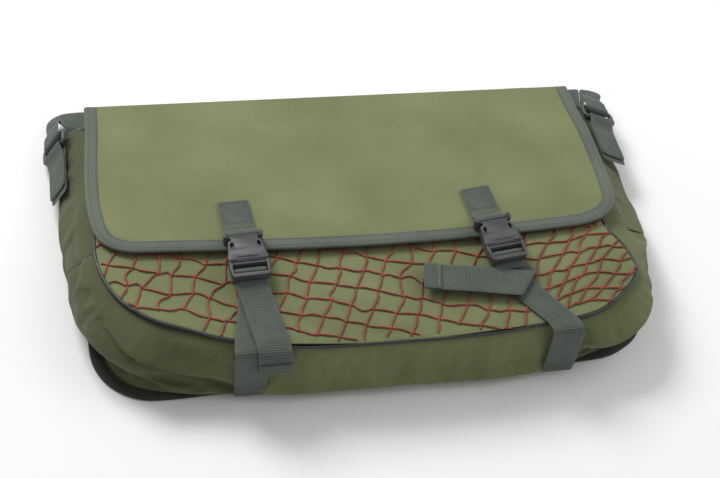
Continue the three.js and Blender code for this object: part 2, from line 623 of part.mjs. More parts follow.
const RING_AXIS_Y = SIDE_TAB_LENGTH / 2;
const TAB_LOOP_RADIUS = RING_ROD_RADIUS + GAP + WEBBING_THICKNESS / 2;
const TAB_LIFT = 0.9 + WEBBING_THICKNESS / 2;
const RING_AXIS_Z = TAB_LIFT + TAB_LOOP_RADIUS;

function sideTabStations() {
  const at = (y, z) => ({ at: vec(0, y, z), across: acrossX });
  const stations = [at(-SIDE_TAB_LENGTH / 2, TAB_LIFT), at(0, TAB_LIFT)];
  for (let i = 0; i <= 10; i++) {
    const angle = -PI / 2 + i / 10 * 1.15 * PI;
    stations.push(at(RING_AXIS_Y + TAB_LOOP_RADIUS * cos(angle),
      RING_AXIS_Z + TAB_LOOP_RADIUS * sin(angle)));
  }
  stations.push(at(RING_AXIS_Y - 9, TAB_LIFT + WEBBING_THICKNESS + 1.4));
  stations.push(at(RING_AXIS_Y - 16, TAB_LIFT + WEBBING_THICKNESS + GAP));
  stations.push(at(-SIDE_TAB_LENGTH / 2 + 8, TAB_LIFT + WEBBING_THICKNESS + GAP));
  return stations;
}

// A rectangular ring of round rod, its near bar in the tab's loop.
const RING_STEPS = 40;
function ringGeometry() {
  const half = WEBBING_WIDTH / 2 + GAP + 1 + RING_ROD_RADIUS;
  const bend = RING_ROD_RADIUS * 1.4;
  const line = new THREE.CurvePath();
  const corners = [
    vec(-half, 0, 0), vec(half, 0, 0), vec(half, RING_REACH, 0), vec(-half, RING_REACH, 0),
  ];
  const points = corners.flatMap((corner, i) => {
    const before = corners[(i + 3) % 4].clone().sub(corner).setLength(bend);
    const after = corners[(i + 1) % 4].clone().sub(corner).setLength(bend);
    const middle = corner.clone().addScaledVector(before, 0.3).addScaledVector(after, 0.3);
    return [corner.clone().addScaledVector(before, 2), corner.clone().add(before), middle,
      corner.clone().add(after), corner.clone().addScaledVector(after, 2)];
  });
  const curve = new THREE.CatmullRomCurve3(points, true, 'centripetal');
  const stations = curve.getSpacedPoints(RING_STEPS);
  const section = 7;
  const ring = new THREE.TorusGeometry(1, 0.1, section, RING_STEPS);
  const position = ring.getAttribute('position');
  for (let j = 0; j <= section; j++) {
    for (let i = 0; i <= RING_STEPS; i++) {
      const here = stations[i % RING_STEPS];
      const next = stations[(i + 1) % RING_STEPS];
      const before = stations[(i + RING_STEPS - 1) % RING_STEPS];
      const outward = next.clone().sub(before).cross(vec(0, 0, 1)).normalize();
      const angle = 2 * PI * (j % section) / section;
      const at = here.clone().addScaledVector(outward, RING_ROD_RADIUS * cos(angle));
      at.z += RING_ROD_RADIUS * sin(angle);
      position.setXYZ(j * (RING_STEPS + 1) + i, at.x, at.y, at.z);
    }
  }
  return closed(ring);
}

const SIDES = [
  { name: 'left', side: -1, rise: LEFT_TAB_HEIGHT },
  { name: 'right', side: 1, rise: RIGHT_TAB_HEIGHT },
];
const ringFrames = {};
for (const { name, side, rise } of SIDES) {
  const frame = sideFrame(side, rise);
  ringFrames[name] = frame;
  add(`${name}_side_tab`, webbing(sideTabStations()), WEBBING, frame);
  const ring = add(`${name}_side_ring`, ringGeometry(), PLASTIC, frame);
  ring.position.set(0, RING_AXIS_Y, RING_AXIS_Z);
}

// ---------- shoulder strap ----------
// One band from ring to ring. It loops round each ring's far bar and lies behind the bag in
// three layers, folded to and fro. Each point has its share of the turn from the ring's bar
// (0) to flat on the ground (1).
const BAR_Y_RING = RING_AXIS_Y + RING_REACH;
const loopRadius = TAB_LOOP_RADIUS + 0.05;
const ringLoop = [
  [5, -1], [2.5, -1], [-0.7, -0.7], [-1, 0], [-0.7, 0.7], [0, 1.02], [5, 0.9], [13, 0.8],
  [22, -0.1],
];
function strapEnd(frame) {
  return ringLoop.map(([along, up], i) => {
    const y = i > 1 && i < 6 ? along * loopRadius : along;
    const point = vec(0, BAR_Y_RING + y, RING_AXIS_Z + up * loopRadius);
    return { point: frame.localToWorld(point), turn: 0 };
  });
}

const layer = WEBBING_THICKNESS + GAP + 0.1;
const laid = (x, level) => ({ point: vec(x, STRAP_LAY_Y, STRAP_LIFT + level * layer), turn: 1 });
const foldTurn = 1.1; // how far a fold reaches past the end of the layers it joins
const SLIDER_X = BACK_HALF_WIDTH - 44; // the slider's rest place on the strap's last stretch
const SLIDER_Z = STRAP_LIFT + 2 * layer + 0.6;
const inwards = 15;
const strapCourse = [
  ...strapEnd(ringFrames.left),
  { point: vec(-BACK_HALF_WIDTH - 25, 163, 20), turn: 0.4 },
  { point: vec(-BACK_HALF_WIDTH - 14, 171, 12), turn: 0.8 },
  { point: vec(8 - BACK_HALF_WIDTH, STRAP_LAY_Y, 5), turn: 1 }, laid(33 - BACK_HALF_WIDTH, 0.4),
  laid(STRAP_FOLD_LEFT + inwards, 0), laid(-30, 0), laid(STRAP_FOLD_RIGHT - inwards, 0),
  laid(STRAP_FOLD_RIGHT, 0), laid(STRAP_FOLD_RIGHT + foldTurn, 0.5), laid(STRAP_FOLD_RIGHT, 1),
  laid(STRAP_FOLD_RIGHT - inwards, 1), laid(-30, 1), laid(STRAP_FOLD_LEFT + inwards, 1),
  laid(STRAP_FOLD_LEFT, 1), laid(STRAP_FOLD_LEFT - foldTurn, 1.5), laid(STRAP_FOLD_LEFT, 2),
  laid(STRAP_FOLD_LEFT + inwards, 2), laid(-30, 2), laid(STRAP_FOLD_RIGHT - inwards, 2),
  ...[-45, -15, 15, 45].map((x) => ({ point: vec(SLIDER_X + x, STRAP_LAY_Y, SLIDER_Z), turn: 1 })),
  { point: vec(BACK_HALF_WIDTH + 19, 171, 13), turn: 0.8 },
  { point: vec(BACK_HALF_WIDTH + 29, 163, 22), turn: 0.4 },
  ...strapEnd(ringFrames.right).reverse(),
];
const strapCurve = new THREE.CatmullRomCurve3(strapCourse.map(({ point }) => point), false,
  'centripetal');
const acrossLay = vec(0, 1, 0);
function acrossRing(frame) {
  const across = vec(1, 0, 0).applyQuaternion(frame.quaternion);
  return across.z > 0 ? across.negate() : across;
}
const lastPoint = strapCourse.length - 1;
const STRAP_STEPS = 3; // stations between two points of the course
const strapStations = Array.from({ length: lastPoint * STRAP_STEPS + 1 }, (_, k) => {
  const place = k / STRAP_STEPS;
  const i = Math.min(Math.floor(place), lastPoint - 1);
  const turn = lerp(strapCourse[i].turn, strapCourse[i + 1].turn, place - i);
  const ring = acrossRing(place < lastPoint / 2 ? ringFrames.left : ringFrames.right);
  const across = ring.lerp(acrossLay, turn).normalize();
  return { at: strapCurve.getPoint(place / lastPoint), across };
});
add('shoulder_strap', webbing(strapStations), WEBBING);

// A three-bar slider that the strap runs through.
const SLIDER_HALF = [12, WEBBING_WIDTH / 2 + 3, 2.6];
const slotHalf = [WEBBING_WIDTH / 2 + 0.6, WEBBING_THICKNESS / 2 + GAP + 0.1];
const sliderBody = toManifold(boxBetween(SLIDER_HALF.map((half) => -half), SLIDER_HALF));
const sliderCuts = [
  boxBetween([-SLIDER_HALF[0] - 1, -slotHalf[0], -slotHalf[1]],
    [SLIDER_HALF[0] + 1, slotHalf[0], slotHalf[1]]),
  boxBetween([2, -slotHalf[0], -4], [8.5, slotHalf[0], 4]),
  boxBetween([-8.5, -slotHalf[0], -4], [-2, slotHalf[0], 4]),
];
const slider = fromManifold(sliderCuts.reduce((left, cut) => left.subtract(toManifold(cut)),
  sliderBody));
add('strap_slider', slider, PLASTIC).position.set(SLIDER_X, STRAP_LAY_Y, SLIDER_Z);

export default group;
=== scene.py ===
import random
from math import cos, exp, pi, radians, sin, sqrt
import bpy
from mathutils import Matrix, Vector, noise


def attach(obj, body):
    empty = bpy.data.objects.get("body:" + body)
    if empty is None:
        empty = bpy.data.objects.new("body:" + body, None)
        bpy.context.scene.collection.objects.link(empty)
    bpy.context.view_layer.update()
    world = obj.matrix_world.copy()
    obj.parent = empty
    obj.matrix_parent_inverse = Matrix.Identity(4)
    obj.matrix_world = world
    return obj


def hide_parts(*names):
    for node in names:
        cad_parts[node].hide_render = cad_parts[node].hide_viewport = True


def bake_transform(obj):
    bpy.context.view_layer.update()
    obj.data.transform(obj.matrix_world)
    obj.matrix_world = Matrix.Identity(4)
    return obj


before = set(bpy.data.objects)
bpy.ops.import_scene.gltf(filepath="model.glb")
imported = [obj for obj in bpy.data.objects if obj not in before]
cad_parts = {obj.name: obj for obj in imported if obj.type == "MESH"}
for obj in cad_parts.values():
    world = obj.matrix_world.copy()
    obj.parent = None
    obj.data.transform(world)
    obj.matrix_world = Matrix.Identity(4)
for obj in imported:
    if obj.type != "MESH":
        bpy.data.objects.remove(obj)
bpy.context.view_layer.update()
MM = 0.001
TAU = 2 * pi
WEBBING_WIDTH = 29.0
rng = random.Random(7)


# ---------- camera, floor and light ----------
def camera_at(place, right, up, back, lens):
    data = bpy.data.cameras.new("camera")
    data.lens = lens
    data.sensor_width = 36
    camera = bpy.data.objects.new("camera", data)
    bpy.context.scene.collection.objects.link(camera)
    turn = Matrix((right, up, back)).transposed().to_4x4()
    camera.matrix_world = Matrix.Translation(place) @ turn
    bpy.context.scene.camera = camera


camera_at(Vector((-0.2447, -0.8721, 1.0613)), Vector((0.9818, -0.1625, 0.0987)),
          Vector((0.0611, 0.7611, 0.6458)), Vector((-0.18, -0.628, 0.7571)), 73.64)


def deselect():
    bpy.ops.object.select_all(action="DESELECT")


def only(o):
    deselect()
    o.select_set(True)
    bpy.context.view_layer.objects.active = o


def soft_light(name, place, aim, size, watts):
    data = bpy.data.lights.new(name, "AREA")
    data.size = size
    data.energy = watts
    light = bpy.data.objects.new(name, data)
    bpy.context.scene.collection.objects.link(light)
    light.location = place
    light.rotation_euler = (Vector(aim) - Vector(place)).to_track_quat("-Z", "Y").to_euler()


soft_light("window", (-1.0, 1.5, 1.9), (0, 0, 0), 1.1, 51)
soft_light("fill", (1.7, 0.1, 1.5), (0, 0, 0), 1.5, 12)
world = bpy.data.worlds.new("studio")
world.use_nodes = True
world.node_tree.nodes["Background"].inputs["Color"].default_value = (1, 1, 1, 1)
world.node_tree.nodes["Background"].inputs["Strength"].default_value = 0.44
bpy.context.scene.world = world
bpy.context.scene.view_settings.view_transform = "Standard"


# ---------- materials ----------
class Wire:
    """A socket of a finish, so that sums on it are written as sums."""

    def __init__(self, finish, socket):
        self.finish = finish
        self.socket = socket

    def math(self, operation, *others, swapped=False):
        values = [self, *others]
        if swapped:
            values.reverse()
        node = self.finish.node("ShaderNodeMath", {"operation": operation},
                                {i: value for i, value in enumerate(values)})
        return Wire(self.finish, node.outputs[0])

    def __add__(self, other):
        return self.math("ADD", other)

    def __sub__(self, other):
        return self.math("SUBTRACT", other)

    def __mul__(self, other):
        return self.math("MULTIPLY", other)

    def __truediv__(self, other):
        return self.math("DIVIDE", other)

    def __rsub__(self, other):
        return self.math("SUBTRACT", other, swapped=True)

    __radd__ = __add__
    __rmul__ = __mul__

    def sin(self):
        return self.math("SINE")

    def abs(self):
        return self.math("ABSOLUTE")

    def fract(self):
        return self.math("FRACT")

    def smooth(self, low, high):
        node = self.finish.node("ShaderNodeMapRange", {"interpolation_type": "SMOOTHSTEP"},
                                {"Value": self, "From Min": low, "From Max": high})
        return Wire(self.finish, node.outputs[0])


class Finish:
    """One material, made of nodes."""

    def __init__(self, name, slot):
        self.material = bpy.data.materials.new(name)
        self.material.use_nodes = True
        self.slot = slot
        self.tree = self.material.node_tree
        self.tree.nodes.clear()
        self.shader = self.node("ShaderNodeBsdfPrincipled")
        self.node("ShaderNodeOutputMaterial", {}, {"Surface": self.shader.outputs[0]})

    def node(self, kind, settings=None, values=None):
        node = self.tree.nodes.new(kind)
        for key, value in (settings or {}).items():
            setattr(node, key, value)
        for key, value in (values or {}).items():
            self.put(node.inputs[key], value)
        return node

    def put(self, socket, value):
        if isinstance(value, Wire):
            value = value.socket
        if isinstance(value, bpy.types.NodeSocket):
            self.tree.links.new(value, socket)
        else:
            socket.default_value = value

    def place(self, which="UV"):
        return self.node("ShaderNodeTexCoord").outputs[which]

    def split(self, vector):
        node = self.node("ShaderNodeSeparateXYZ", {}, {0: vector})
        return [Wire(self, out) for out in node.outputs]

    def noise(self, vector, scale, detail):
        node = self.node("ShaderNodeTexNoise", {},
                         {"Vector": vector, "Scale": scale, "Detail": detail, "Roughness": 0.55})
        return Wire(self, node.outputs["Fac"])

    def mix(self, share, first, second):
        node = self.node("ShaderNodeMix", {"data_type": "RGBA"})
        self.put(node.inputs[0], share)
        self.put(node.inputs[6], first)
        self.put(node.inputs[7], second)
        return node.outputs[2]

    def bump(self, height, distance):
        node = self.node("ShaderNodeBump", {}, {"Height": height, "Distance": distance})
        self.put(self.shader.inputs["Normal"], node.outputs[0])

    def set(self, **values):
        for key, value in values.items():
            self.put(self.shader.inputs[key.replace("_", " ")], value)


def rgb(r, g, b):
    return (r, g, b, 1.0)


def cloth_finish(name, slot, light, dark, thread, relief, painted_shade_ends=False):
    """Plain weave, one thread every `thread` metres, its colour a little uneven. With the last
    option on, shade is painted into the colour: darker towards the left end and low on the right."""
    f = Finish(name, slot)
    place = f.place()
    u, v, _ = f.split(place)
    warp = (u * (TAU / thread)).sin()
    weft = (v * (TAU / thread)).sin()
    weave = warp * weft
    cloud = f.noise(place, 11, 4).smooth(0.3, 0.7)
    grain = f.noise(place, 900, 2)
    slub = f.noise(f.node("ShaderNodeMapping", {}, {"Vector": place, "Scale": (1, 24, 1)})
                   .outputs[0], 60, 2)
    tone = cloud * 0.35 + grain * 0.4 + slub * 0.2 + weave * 0.06
    color = f.mix(tone, dark, light)
    # Painted shade: the colour darkens towards the left end and low on the right end, standing in
    # for shadow.
    if painted_shade_ends:
        x, _, z = f.split(f.place("Object"))
        left = (0 - x).smooth(0.1, 0.2) * 0.68
        right = x.smooth(0.15, 0.22) * (z.smooth(0.045, 0.02) * 0.5 + 0.3)
        painted_shade_colour = f.mix(tone, rgb(0.03, 0.034, 0.016), rgb(0.075, 0.083, 0.036))
        color = f.mix(left + right, color, painted_shade_colour)
    f.set(Base_Color=color, Roughness=0.66 + grain * 0.16,
          Sheen_Weight=0.12, Sheen_Roughness=0.45)
    f.put(f.shader.inputs["Specular IOR Level"], 0.32)
    f.bump(weave * 0.5 + grain * 0.6 + slub * 0.4, relief)
    return f


def webbing_finish(name, slot, light, dark, rib, width):
    """Ribbed band: ribs across it, a plain selvedge along both edges."""
    f = Finish(name, slot)
    place = f.place()
    u, v, _ = f.split(place)
    edge = (u - width / 2).abs()
    selvedge = edge.smooth(width / 2 - 0.0026, width / 2 - 0.0016)
    ribs = (v * (TAU / rib)).sin() * 0.5 + 0.5
    chevron = ((v + ((u / 0.0042).fract() - 0.5).abs() * 0.0042) * (TAU / 0.0012)).sin()
    yarn = f.noise(place, 1400, 2)
    cloud = f.noise(place, 30, 3).smooth(0.3, 0.7)
    height = ribs * (1 - selvedge) + chevron * 0.18 + yarn * 0.3
    tone = ribs * 0.34 * (1 - selvedge) + selvedge * 0.2 + yarn * 0.36 + cloud * 0.24
    f.set(Base_Color=f.mix(tone, dark, light), Roughness=0.62 + yarn * 0.2,
          Sheen_Weight=0.1, Sheen_Roughness=0.5)
    f.put(f.shader.inputs["Specular IOR Level"], 0.3)
    f.bump(height, 0.00035)
    return f


def twine_finish():
    f = Finish("net twine", "twine")
    place = f.place("Object")
    strand = f.noise(place, 1600, 2)
    cloud = f.noise(place, 40, 2).smooth(0.35, 0.65)
    f.set(Base_Color=f.mix(strand * 0.5 + cloud * 0.4, rgb(0.15, 0.02, 0.012),
                           rgb(0.4, 0.075, 0.05)), Roughness=0.62, Sheen_Weight=0.1)
    f.bump(strand, 0.0002)
    return f


def thread_finish(name, slot, light, dark):
    f = Finish(name, slot)
    place = f.place("Object")
    grain = f.noise(place, 1500, 2)
    f.set(Base_Color=f.mix(grain, dark, light), Roughness=0.6 + grain * 0.1)
    f.bump(grain, 0.0001)
    return f


def plastic_finish(name, slot, light, dark, roughness, relief):
    f = Finish(name, slot)
    place = f.place("Object")
    spark = f.noise(place, 1800, 2)
    cloud = f.noise(place, 70, 3).smooth(0.3, 0.7)
    f.set(Base_Color=f.mix(cloud * 0.6 + spark * 0.4, dark, light),
          Roughness=roughness + cloud * 0.12)
    f.bump(spark, relief)
    return f


OLIVE = cloth_finish("olive polyester", "olive_cloth", rgb(0.253, 0.274, 0.122),
                     rgb(0.124, 0.142, 0.06), 0.00056, 0.00012)
# The olive cloth darkened for the gussets and the back: its darkness is painted shade, with more
# painted shade at the left end and low on the right end.
OLIVE_PAINTED_SHADE = cloth_finish("olive polyester with painted shade", "dark_olive_cloth", rgb(0.205, 0.225, 0.095),
                          rgb(0.108, 0.124, 0.047), 0.00056, 0.00012, painted_shade_ends=True)
LINING = cloth_finish("coated lining", "lining_cloth", rgb(0.075, 0.082, 0.05),
                      rgb(0.04, 0.046, 0.028), 0.0008, 0.00008)
TAPE = cloth_finish("binding tape", "binding_tape", rgb(0.16, 0.188, 0.148),
                    rgb(0.075, 0.093, 0.072), 0.0009, 0.00018)
# The binding tape darkened for the back seam: its darkness is painted shadow where the seam lies
# under the bag's edge.
TAPE_PAINTED_SHADOW = cloth_finish("binding tape with painted shadow", "binding_tape", rgb(0.045, 0.055, 0.04),
                         rgb(0.014, 0.018, 0.013), 0.0009, 0.00018)
WEBBING = webbing_finish("ribbed webbing", "webbing", rgb(0.132, 0.162, 0.136),
                         rgb(0.034, 0.046, 0.037), 0.0021, 0.029)
TWINE = twine_finish()
GREEN_THREAD = thread_finish("green thread", "webbing", rgb(0.12, 0.14, 0.11),
                             rgb(0.05, 0.062, 0.05))
MUSTARD_THREAD = thread_finish("mustard thread", "webbing", rgb(0.34, 0.3, 0.08),
                               rgb(0.17, 0.15, 0.05))
PLASTIC = plastic_finish("buckle plastic", "black_plastic", rgb(0.08, 0.079, 0.084),
                         rgb(0.047, 0.046, 0.051), 0.42, 0.00003)
PIPING = plastic_finish("piping", "piping", rgb(0.032, 0.034, 0.036),
                        rgb(0.012, 0.013, 0.014), 0.3, 0.00002)


# ---------- making ----------
def curve_through(points, count):
    """Evenly spaced points on a smooth curve through points of any dimension."""
    points = [Vector(p) for p in points]
    ends = [2 * points[0] - points[1], *points, 2 * points[-1] - points[-2]]
    fine = []
    for i in range(len(points) - 1):
        p0, p1, p2, p3 = ends[i:i + 4]
        for k in range(16):
            t = k / 16
            fine.append(0.5 * (2 * p1 + (p2 - p0) * t + (2 * p0 - 5 * p1 + 4 * p2 - p3) * t * t
                               + (3 * p1 - p0 - 3 * p2 + p3) * t ** 3))
    fine.append(points[-1])
    reach = [0.0]
    for a, b in zip(fine, fine[1:]):
        reach.append(reach[-1] + (b - a).length)
    spaced = []
    k = 0
    for i in range(count):
        want = reach[-1] * i / (count - 1)
        while k < len(fine) - 2 and reach[k + 1] < want:
            k += 1
        share = (want - reach[k]) / max(reach[k + 1] - reach[k], 1e-9)
        spaced.append(fine[k].lerp(fine[k + 1], min(max(share, 0), 1)))
    return spaced


def at_share(table, share):
    """A row between the rows of a table, by share from 0 to 1."""
    place = min(max(share, 0), 1) * (len(table) - 1)
    i = min(int(place), len(table) - 2)
    return table[i].lerp(table[i + 1], place - i)


def lerp(a, b, t):
    return a + (b - a) * t


def smoothstep(low, high, x):
    t = min(max((x - low) / (high - low), 0), 1)
    return t * t * (3 - 2 * t)


def coat(o, finish):
    o.data.materials.clear()
    o.data.materials.append(finish.material)


def outward(line, i):
    """The level direction out to the right of a line's run, at its point i."""
    a, b = line[max(i - 1, 0)], line[min(i + 1, len(line) - 1)]
    level = Vector((b[0] - a[0], b[1] - a[1], 0)).normalized()
    return Vector((level.y, -level.x, 0))


def stands_for(o, node, body="bag"):
    """The piece takes the place of a node of the frame and moves with one body."""
    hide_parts(node)
    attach(o, body)


def uneven(*place):
    return noise.noise(Vector(place))


def laid_out(name, steps_u, steps_v, at, finish):
    """A grid whose points are laid by at(u, v), in millimetres. Its UV map is in metres."""
    deselect()
    bpy.ops.mesh.primitive_grid_add(x_subdivisions=steps_u, y_subdivisions=steps_v, size=2)
    o = bpy.context.object
    o.name = name
    mesh = o.data
    places = []
    grid = {}
    for vertex in mesh.vertices:
        i = round((vertex.co.x + 1) / 2 * steps_u)
        j = round((vertex.co.y + 1) / 2 * steps_v)
        places.append((i, j))
        grid[i, j] = Vector(at(i / steps_u, j / steps_v)) * MM
    for vertex, key in zip(mesh.vertices, places):
        vertex.co = grid[key]
    along_u, along_v = [0.0], [0.0]
    for i in range(steps_u):
        gaps = [(grid[i + 1, j] - grid[i, j]).length for j in range(steps_v + 1)]
        along_u.append(along_u[-1] + sum(gaps) / len(gaps))
    for j in range(steps_v):
        gaps = [(grid[i, j + 1] - grid[i, j]).length for i in range(steps_u + 1)]
        along_v.append(along_v[-1] + sum(gaps) / len(gaps))
    layer = mesh.uv_layers.active or mesh.uv_layers.new(name="UVMap")
    for loop in mesh.loops:
        i, j = places[loop.vertex_index]
        layer.data[loop.index].uv = (along_u[i], along_v[j])
    coat(o, finish)
    return o


def modify(o, kind, **settings):
    only(o)
    modifier = o.modifiers.new(kind.lower(), kind)
    for key, value in settings.items():
        setattr(modifier, key, value)
    bpy.ops.object.modifier_apply(modifier=modifier.name)


def outwards(o):
    only(o)
    bpy.ops.object.mode_set(mode="EDIT")
    bpy.ops.mesh.select_all(action="SELECT")
    bpy.ops.mesh.normals_make_consistent(inside=False)
    bpy.ops.object.mode_set(mode="OBJECT")


def smooth_faces(o, angle):
    only(o)
    bpy.ops.object.shade_smooth_by_angle(angle=radians(angle))


def thicken(o, millimetres, offset=0.0):
    modify(o, "SOLIDIFY", thickness=millimetres * MM, offset=offset, use_even_offset=False)
    modify(o, "SUBSURF", levels=1, render_levels=1)
    outwards(o)
    smooth_faces(o, 60)
    return o


def band(name, stations, finish, width=WEBBING_WIDTH, thickness=1.5):
    """A strap through stations, each its middle and the direction of its width."""
    last = len(stations) - 1

    def at(u, v):
        middle, across = stations[round(v * last)]
        return middle + across * ((u - 0.5) * width)

    return thicken(laid_out(name, 4, last, at, finish), thickness)


def along(points, first, second, count, share=lambda s: s):
    """Stations on a smooth curve, the width's direction turning from first to second."""
    line = curve_through(points, count)
    return [(p, first.lerp(second, share(i / (count - 1))).normalized())
            for i, p in enumerate(line)]


def tube(name, lines, radius, finish, sides, closed=False):
    """Round cord along each line of points, as one mesh."""
    curve = bpy.data.curves.new(name, "CURVE")
    curve.dimensions = "3D"
    curve.bevel_depth = radius * MM
    curve.bevel_resolution = sides
    curve.use_fill_caps = not closed
    for line in lines:
        spline = curve.splines.new("POLY")
        spline.points.add(len(line) - 1)
        spline.use_cyclic_u = closed
        for point, place in zip(spline.points, line):
            point.co = (*(Vector(place) * MM), 1)
    o = bpy.data.objects.new(name, curve)
    bpy.context.scene.collection.objects.link(o)
    only(o)
    bpy.ops.object.convert(target="MESH")
    o = bpy.context.object
    o.name = name
    coat(o, finish)
    smooth_faces(o, 80)
    return o


def copies(name, model, places, finish):
    """One small model repeated at many places, as one mesh. A place is a 4x4 matrix."""
    verts = [v.co.copy() for v in model.data.vertices]
    faces = [tuple(p.vertices) for p in model.data.polygons]
    all_verts = []
    all_faces = []
    for place in places:
        start = len(all_verts)
        all_verts.extend(place @ v for v in verts)
        all_faces.extend(tuple(start + k for k in face) for face in faces)
    mesh = bpy.data.meshes.new(name)
    mesh.from_pydata(all_verts, [], all_faces)
    o = bpy.data.objects.new(name, mesh)
    bpy.context.scene.collection.objects.link(o)
    coat(o, finish)
    smooth_faces(o, 80)
    return o


def small_model(name, add, **settings):
    deselect()
    add(radius=1, **settings)
    bpy.context.object.name = name
    return bpy.context.object


STITCH_MODEL = small_model("model_stitch", bpy.ops.mesh.primitive_uv_sphere_add,
                           segments=6, ring_count=4)
KNOT_MODEL = small_model("model_knot", bpy.ops.mesh.primitive_ico_sphere_add, subdivisions=2)
STITCH_PITCH = 3.3
STITCH_SIZE = (0.62, 1.25, 0.4)


def sew(name, rows, finish, body="bag"):
    """Rows of thread. A row is a list of (place, normal) in millimetres."""
    places = []
    for row in rows:
        line = curve_through([p for p, _ in row], max(int(len(row) * 4), 8))
        total = sum((b - a).length for a, b in zip(line, line[1:]))
        count = max(int(total / STITCH_PITCH), 2)
        spaced = curve_through(line, count + 1)
        for i in range(count):
            middle = (spaced[i] + spaced[i + 1]) / 2
            normal = Vector(row[round(i / count * (len(row) - 1))][1]).normalized()
            ahead = (spaced[i + 1] - spaced[i]).normalized()
            side = ahead.cross(normal).normalized()
            up = side.cross(ahead)
            turn = Matrix((side, ahead, up)).transposed().to_4x4()
            scale = Matrix.Diagonal((*(s * MM for s in STITCH_SIZE), 1))
            places.append(Matrix.Translation(middle * MM) @ turn @ scale)
    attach(copies(name, STITCH_MODEL, places, finish), body)


# ---------- the bag's surfaces, in millimetres ----------
DEPTH = 66.0
MOUTH_Y = 140.0
FOOT_Z = 2.3
SLOPE = 0.1285  # fall of the front and the flap, per millimetre towards the mouth
FALL_Y = -60  # where the front starts to fall
FALL_ROUND = 30
ROLL_PEAK = 0.0491  # greatest value of the roll's curve


def front_height(y):
    past = y - FALL_Y
    return DEPTH - SLOPE * (past + sqrt(past * past + FALL_ROUND ** 2)) / 2


# A crease: where it starts and ends (share along the gusset, rise), its depth and half width.
CREASES = ((0.235, 0.80, 0.395, 0.14, 9.0, 0.085), (0.24, 0.42, 0.33, 0.10, 4.0, 0.07),
           (0.765, 0.80, 0.655, 0.34, 12.0, 0.12), (0.785, 0.52, 0.70, 0.14, 8.0, 0.10),
           (0.52, 0.93, 0.505, 0.52, 1.6, 0.05), (0.585, 0.96, 0.60, 0.70, 1.4, 0.05),
           (0.135, 0.95, 0.155, 0.55, 1.8, 0.06), (0.185, 0.9, 0.215, 0.5, 2.2, 0.07),
           (0.84, 0.95, 0.815, 0.55, 2.2, 0.06), (0.905, 0.9, 0.89, 0.5, 1.6, 0.05))
# Stations of the gusset from the left mouth corner round the bottom to the right one:
# rim x, rim y, foot x, foot y, bulge, tuck (above 0: the upper half stands out and the
# lower half folds in), and how far it rolls out just above the ground.
GUSSET = [Vector(row) for row in (
    (-238, 140, -241, 140, 25, 0, 0), (-239, 95, -241, 95, 29, 2, 0),
    (-240, 40, -241, 40, 30, 2, 0), (-240, -10, -241, -8, 30, 2, 0),
    (-240, -46, -241, -48, 30, 4, 0),
    (-234, -72, -241, -82, 26, 8, 0), (-221, -97, -237, -112, 21, 11, 0),
    (-196, -119, -226, -134, 16, 12, 0), (-167, -132, -205, -147, 13, 10, 2),
    (-135, -145, -168, -152, 11, 6, 6), (-78, -158, -96, -151, 9, 1, 11),
    (-20, -160, -26, -150, 9, 0, 12), (40, -160, 42, -150, 9, 0, 12),
    (96, -158, 100, -151, 9, 0, 12), (140, -152, 142, -150, 9, 2, 10),
    (168, -149, 172, -149, 8, 6, 6), (194, -141, 200, -144, 9, 16, 2),
    (217, -124, 225, -132, 7, 20, 0), (236, -101, 240, -112, 7, 19, 0),
    (233, -74, 241, -80, 20, 18, 0), (222, -44, 241, -45, 40, 13, 0), (224, -5, 241, -5, 46, 3, 0),
    (230, 57, 241, 57, 38, 2, 0), (236, 110, 241, 110, 37, 0, 0), (237, 140, 241, 140, 36, 0, 0))]
RIM_STEPS = 220
SEAM_Y = -38
RIM = curve_through(GUSSET, RIM_STEPS)


def seam_share(side):
    """Where a side gusset is sewn to the bottom one, as a share along the rim."""
    half = [i for i in range(RIM_STEPS) if (RIM[i][0] < 0) == (side < 0)]
    return min(half, key=lambda i: abs(RIM[i][1] - SEAM_Y)) / (RIM_STEPS - 1)


LEFT_SEAM, RIGHT_SEAM = seam_share(-1), seam_share(1)


def crease_depth(share, rise):
    """How far the creases pull the cloth in at a place."""
    depth = 0.0
    for s0, r0, s1, r1, deep, half in CREASES:
        t = (share - s0) / (s1 - s0)
        if -0.2 < t < 1.2:
            middle = lerp(r0, r1, t) + 0.05 * sin(t * 4 + s0 * 30)
            fade = smoothstep(-0.2, 0.25, t) * smoothstep(1.2, 0.7, t)
            off = (rise - middle) / half
            depth += deep * fade * (exp(-abs(off) * 1.7) - 0.5 * exp(-(off - 1.5) ** 2))
    return depth


def gusset_point(share, rise, lift=0.0):
    rim_x, rim_y, foot_x, foot_y, bulge, tuck, roll = at_share(RIM, share)
    rim = Vector((rim_x, rim_y, front_height(rim_y) - 3.6))
    foot = Vector((foot_x, foot_y, FOOT_Z))
    before = at_share(RIM, share - 0.012)
    after = at_share(RIM, share + 0.012)
    level = Vector((after[2] - before[2], after[3] - before[3], 0)).normalized()
    out = Vector((level.y, -level.x, 0))
    wave = sin(pi * rise)
    swell = bulge * wave ** 0.8 - tuck * sin(2 * pi * rise) * 0.8
    swell += roll * rise * (1 - rise) ** 7 / ROLL_PEAK
    swell -= crease_depth(share, rise) * min(wave * 2, 1)
    point = foot.lerp(rim, rise) + out * (swell + lift)
    roughness = wave * 2.4 * uneven(share * 16, rise * 1.6, 3)
    fine = wave * 0.9 * uneven(share * 55, rise * 4, 8)
    point += out * (roughness + fine)
    point.z += wave * 1.4 * uneven(share * 24, rise * 2, 11)
    return point


# ---------- gussets ----------
CLOTH_EXCESS = 0.03
CLOTH_FRAMES = 22
CLOTH_REACH = 6.0 * MM


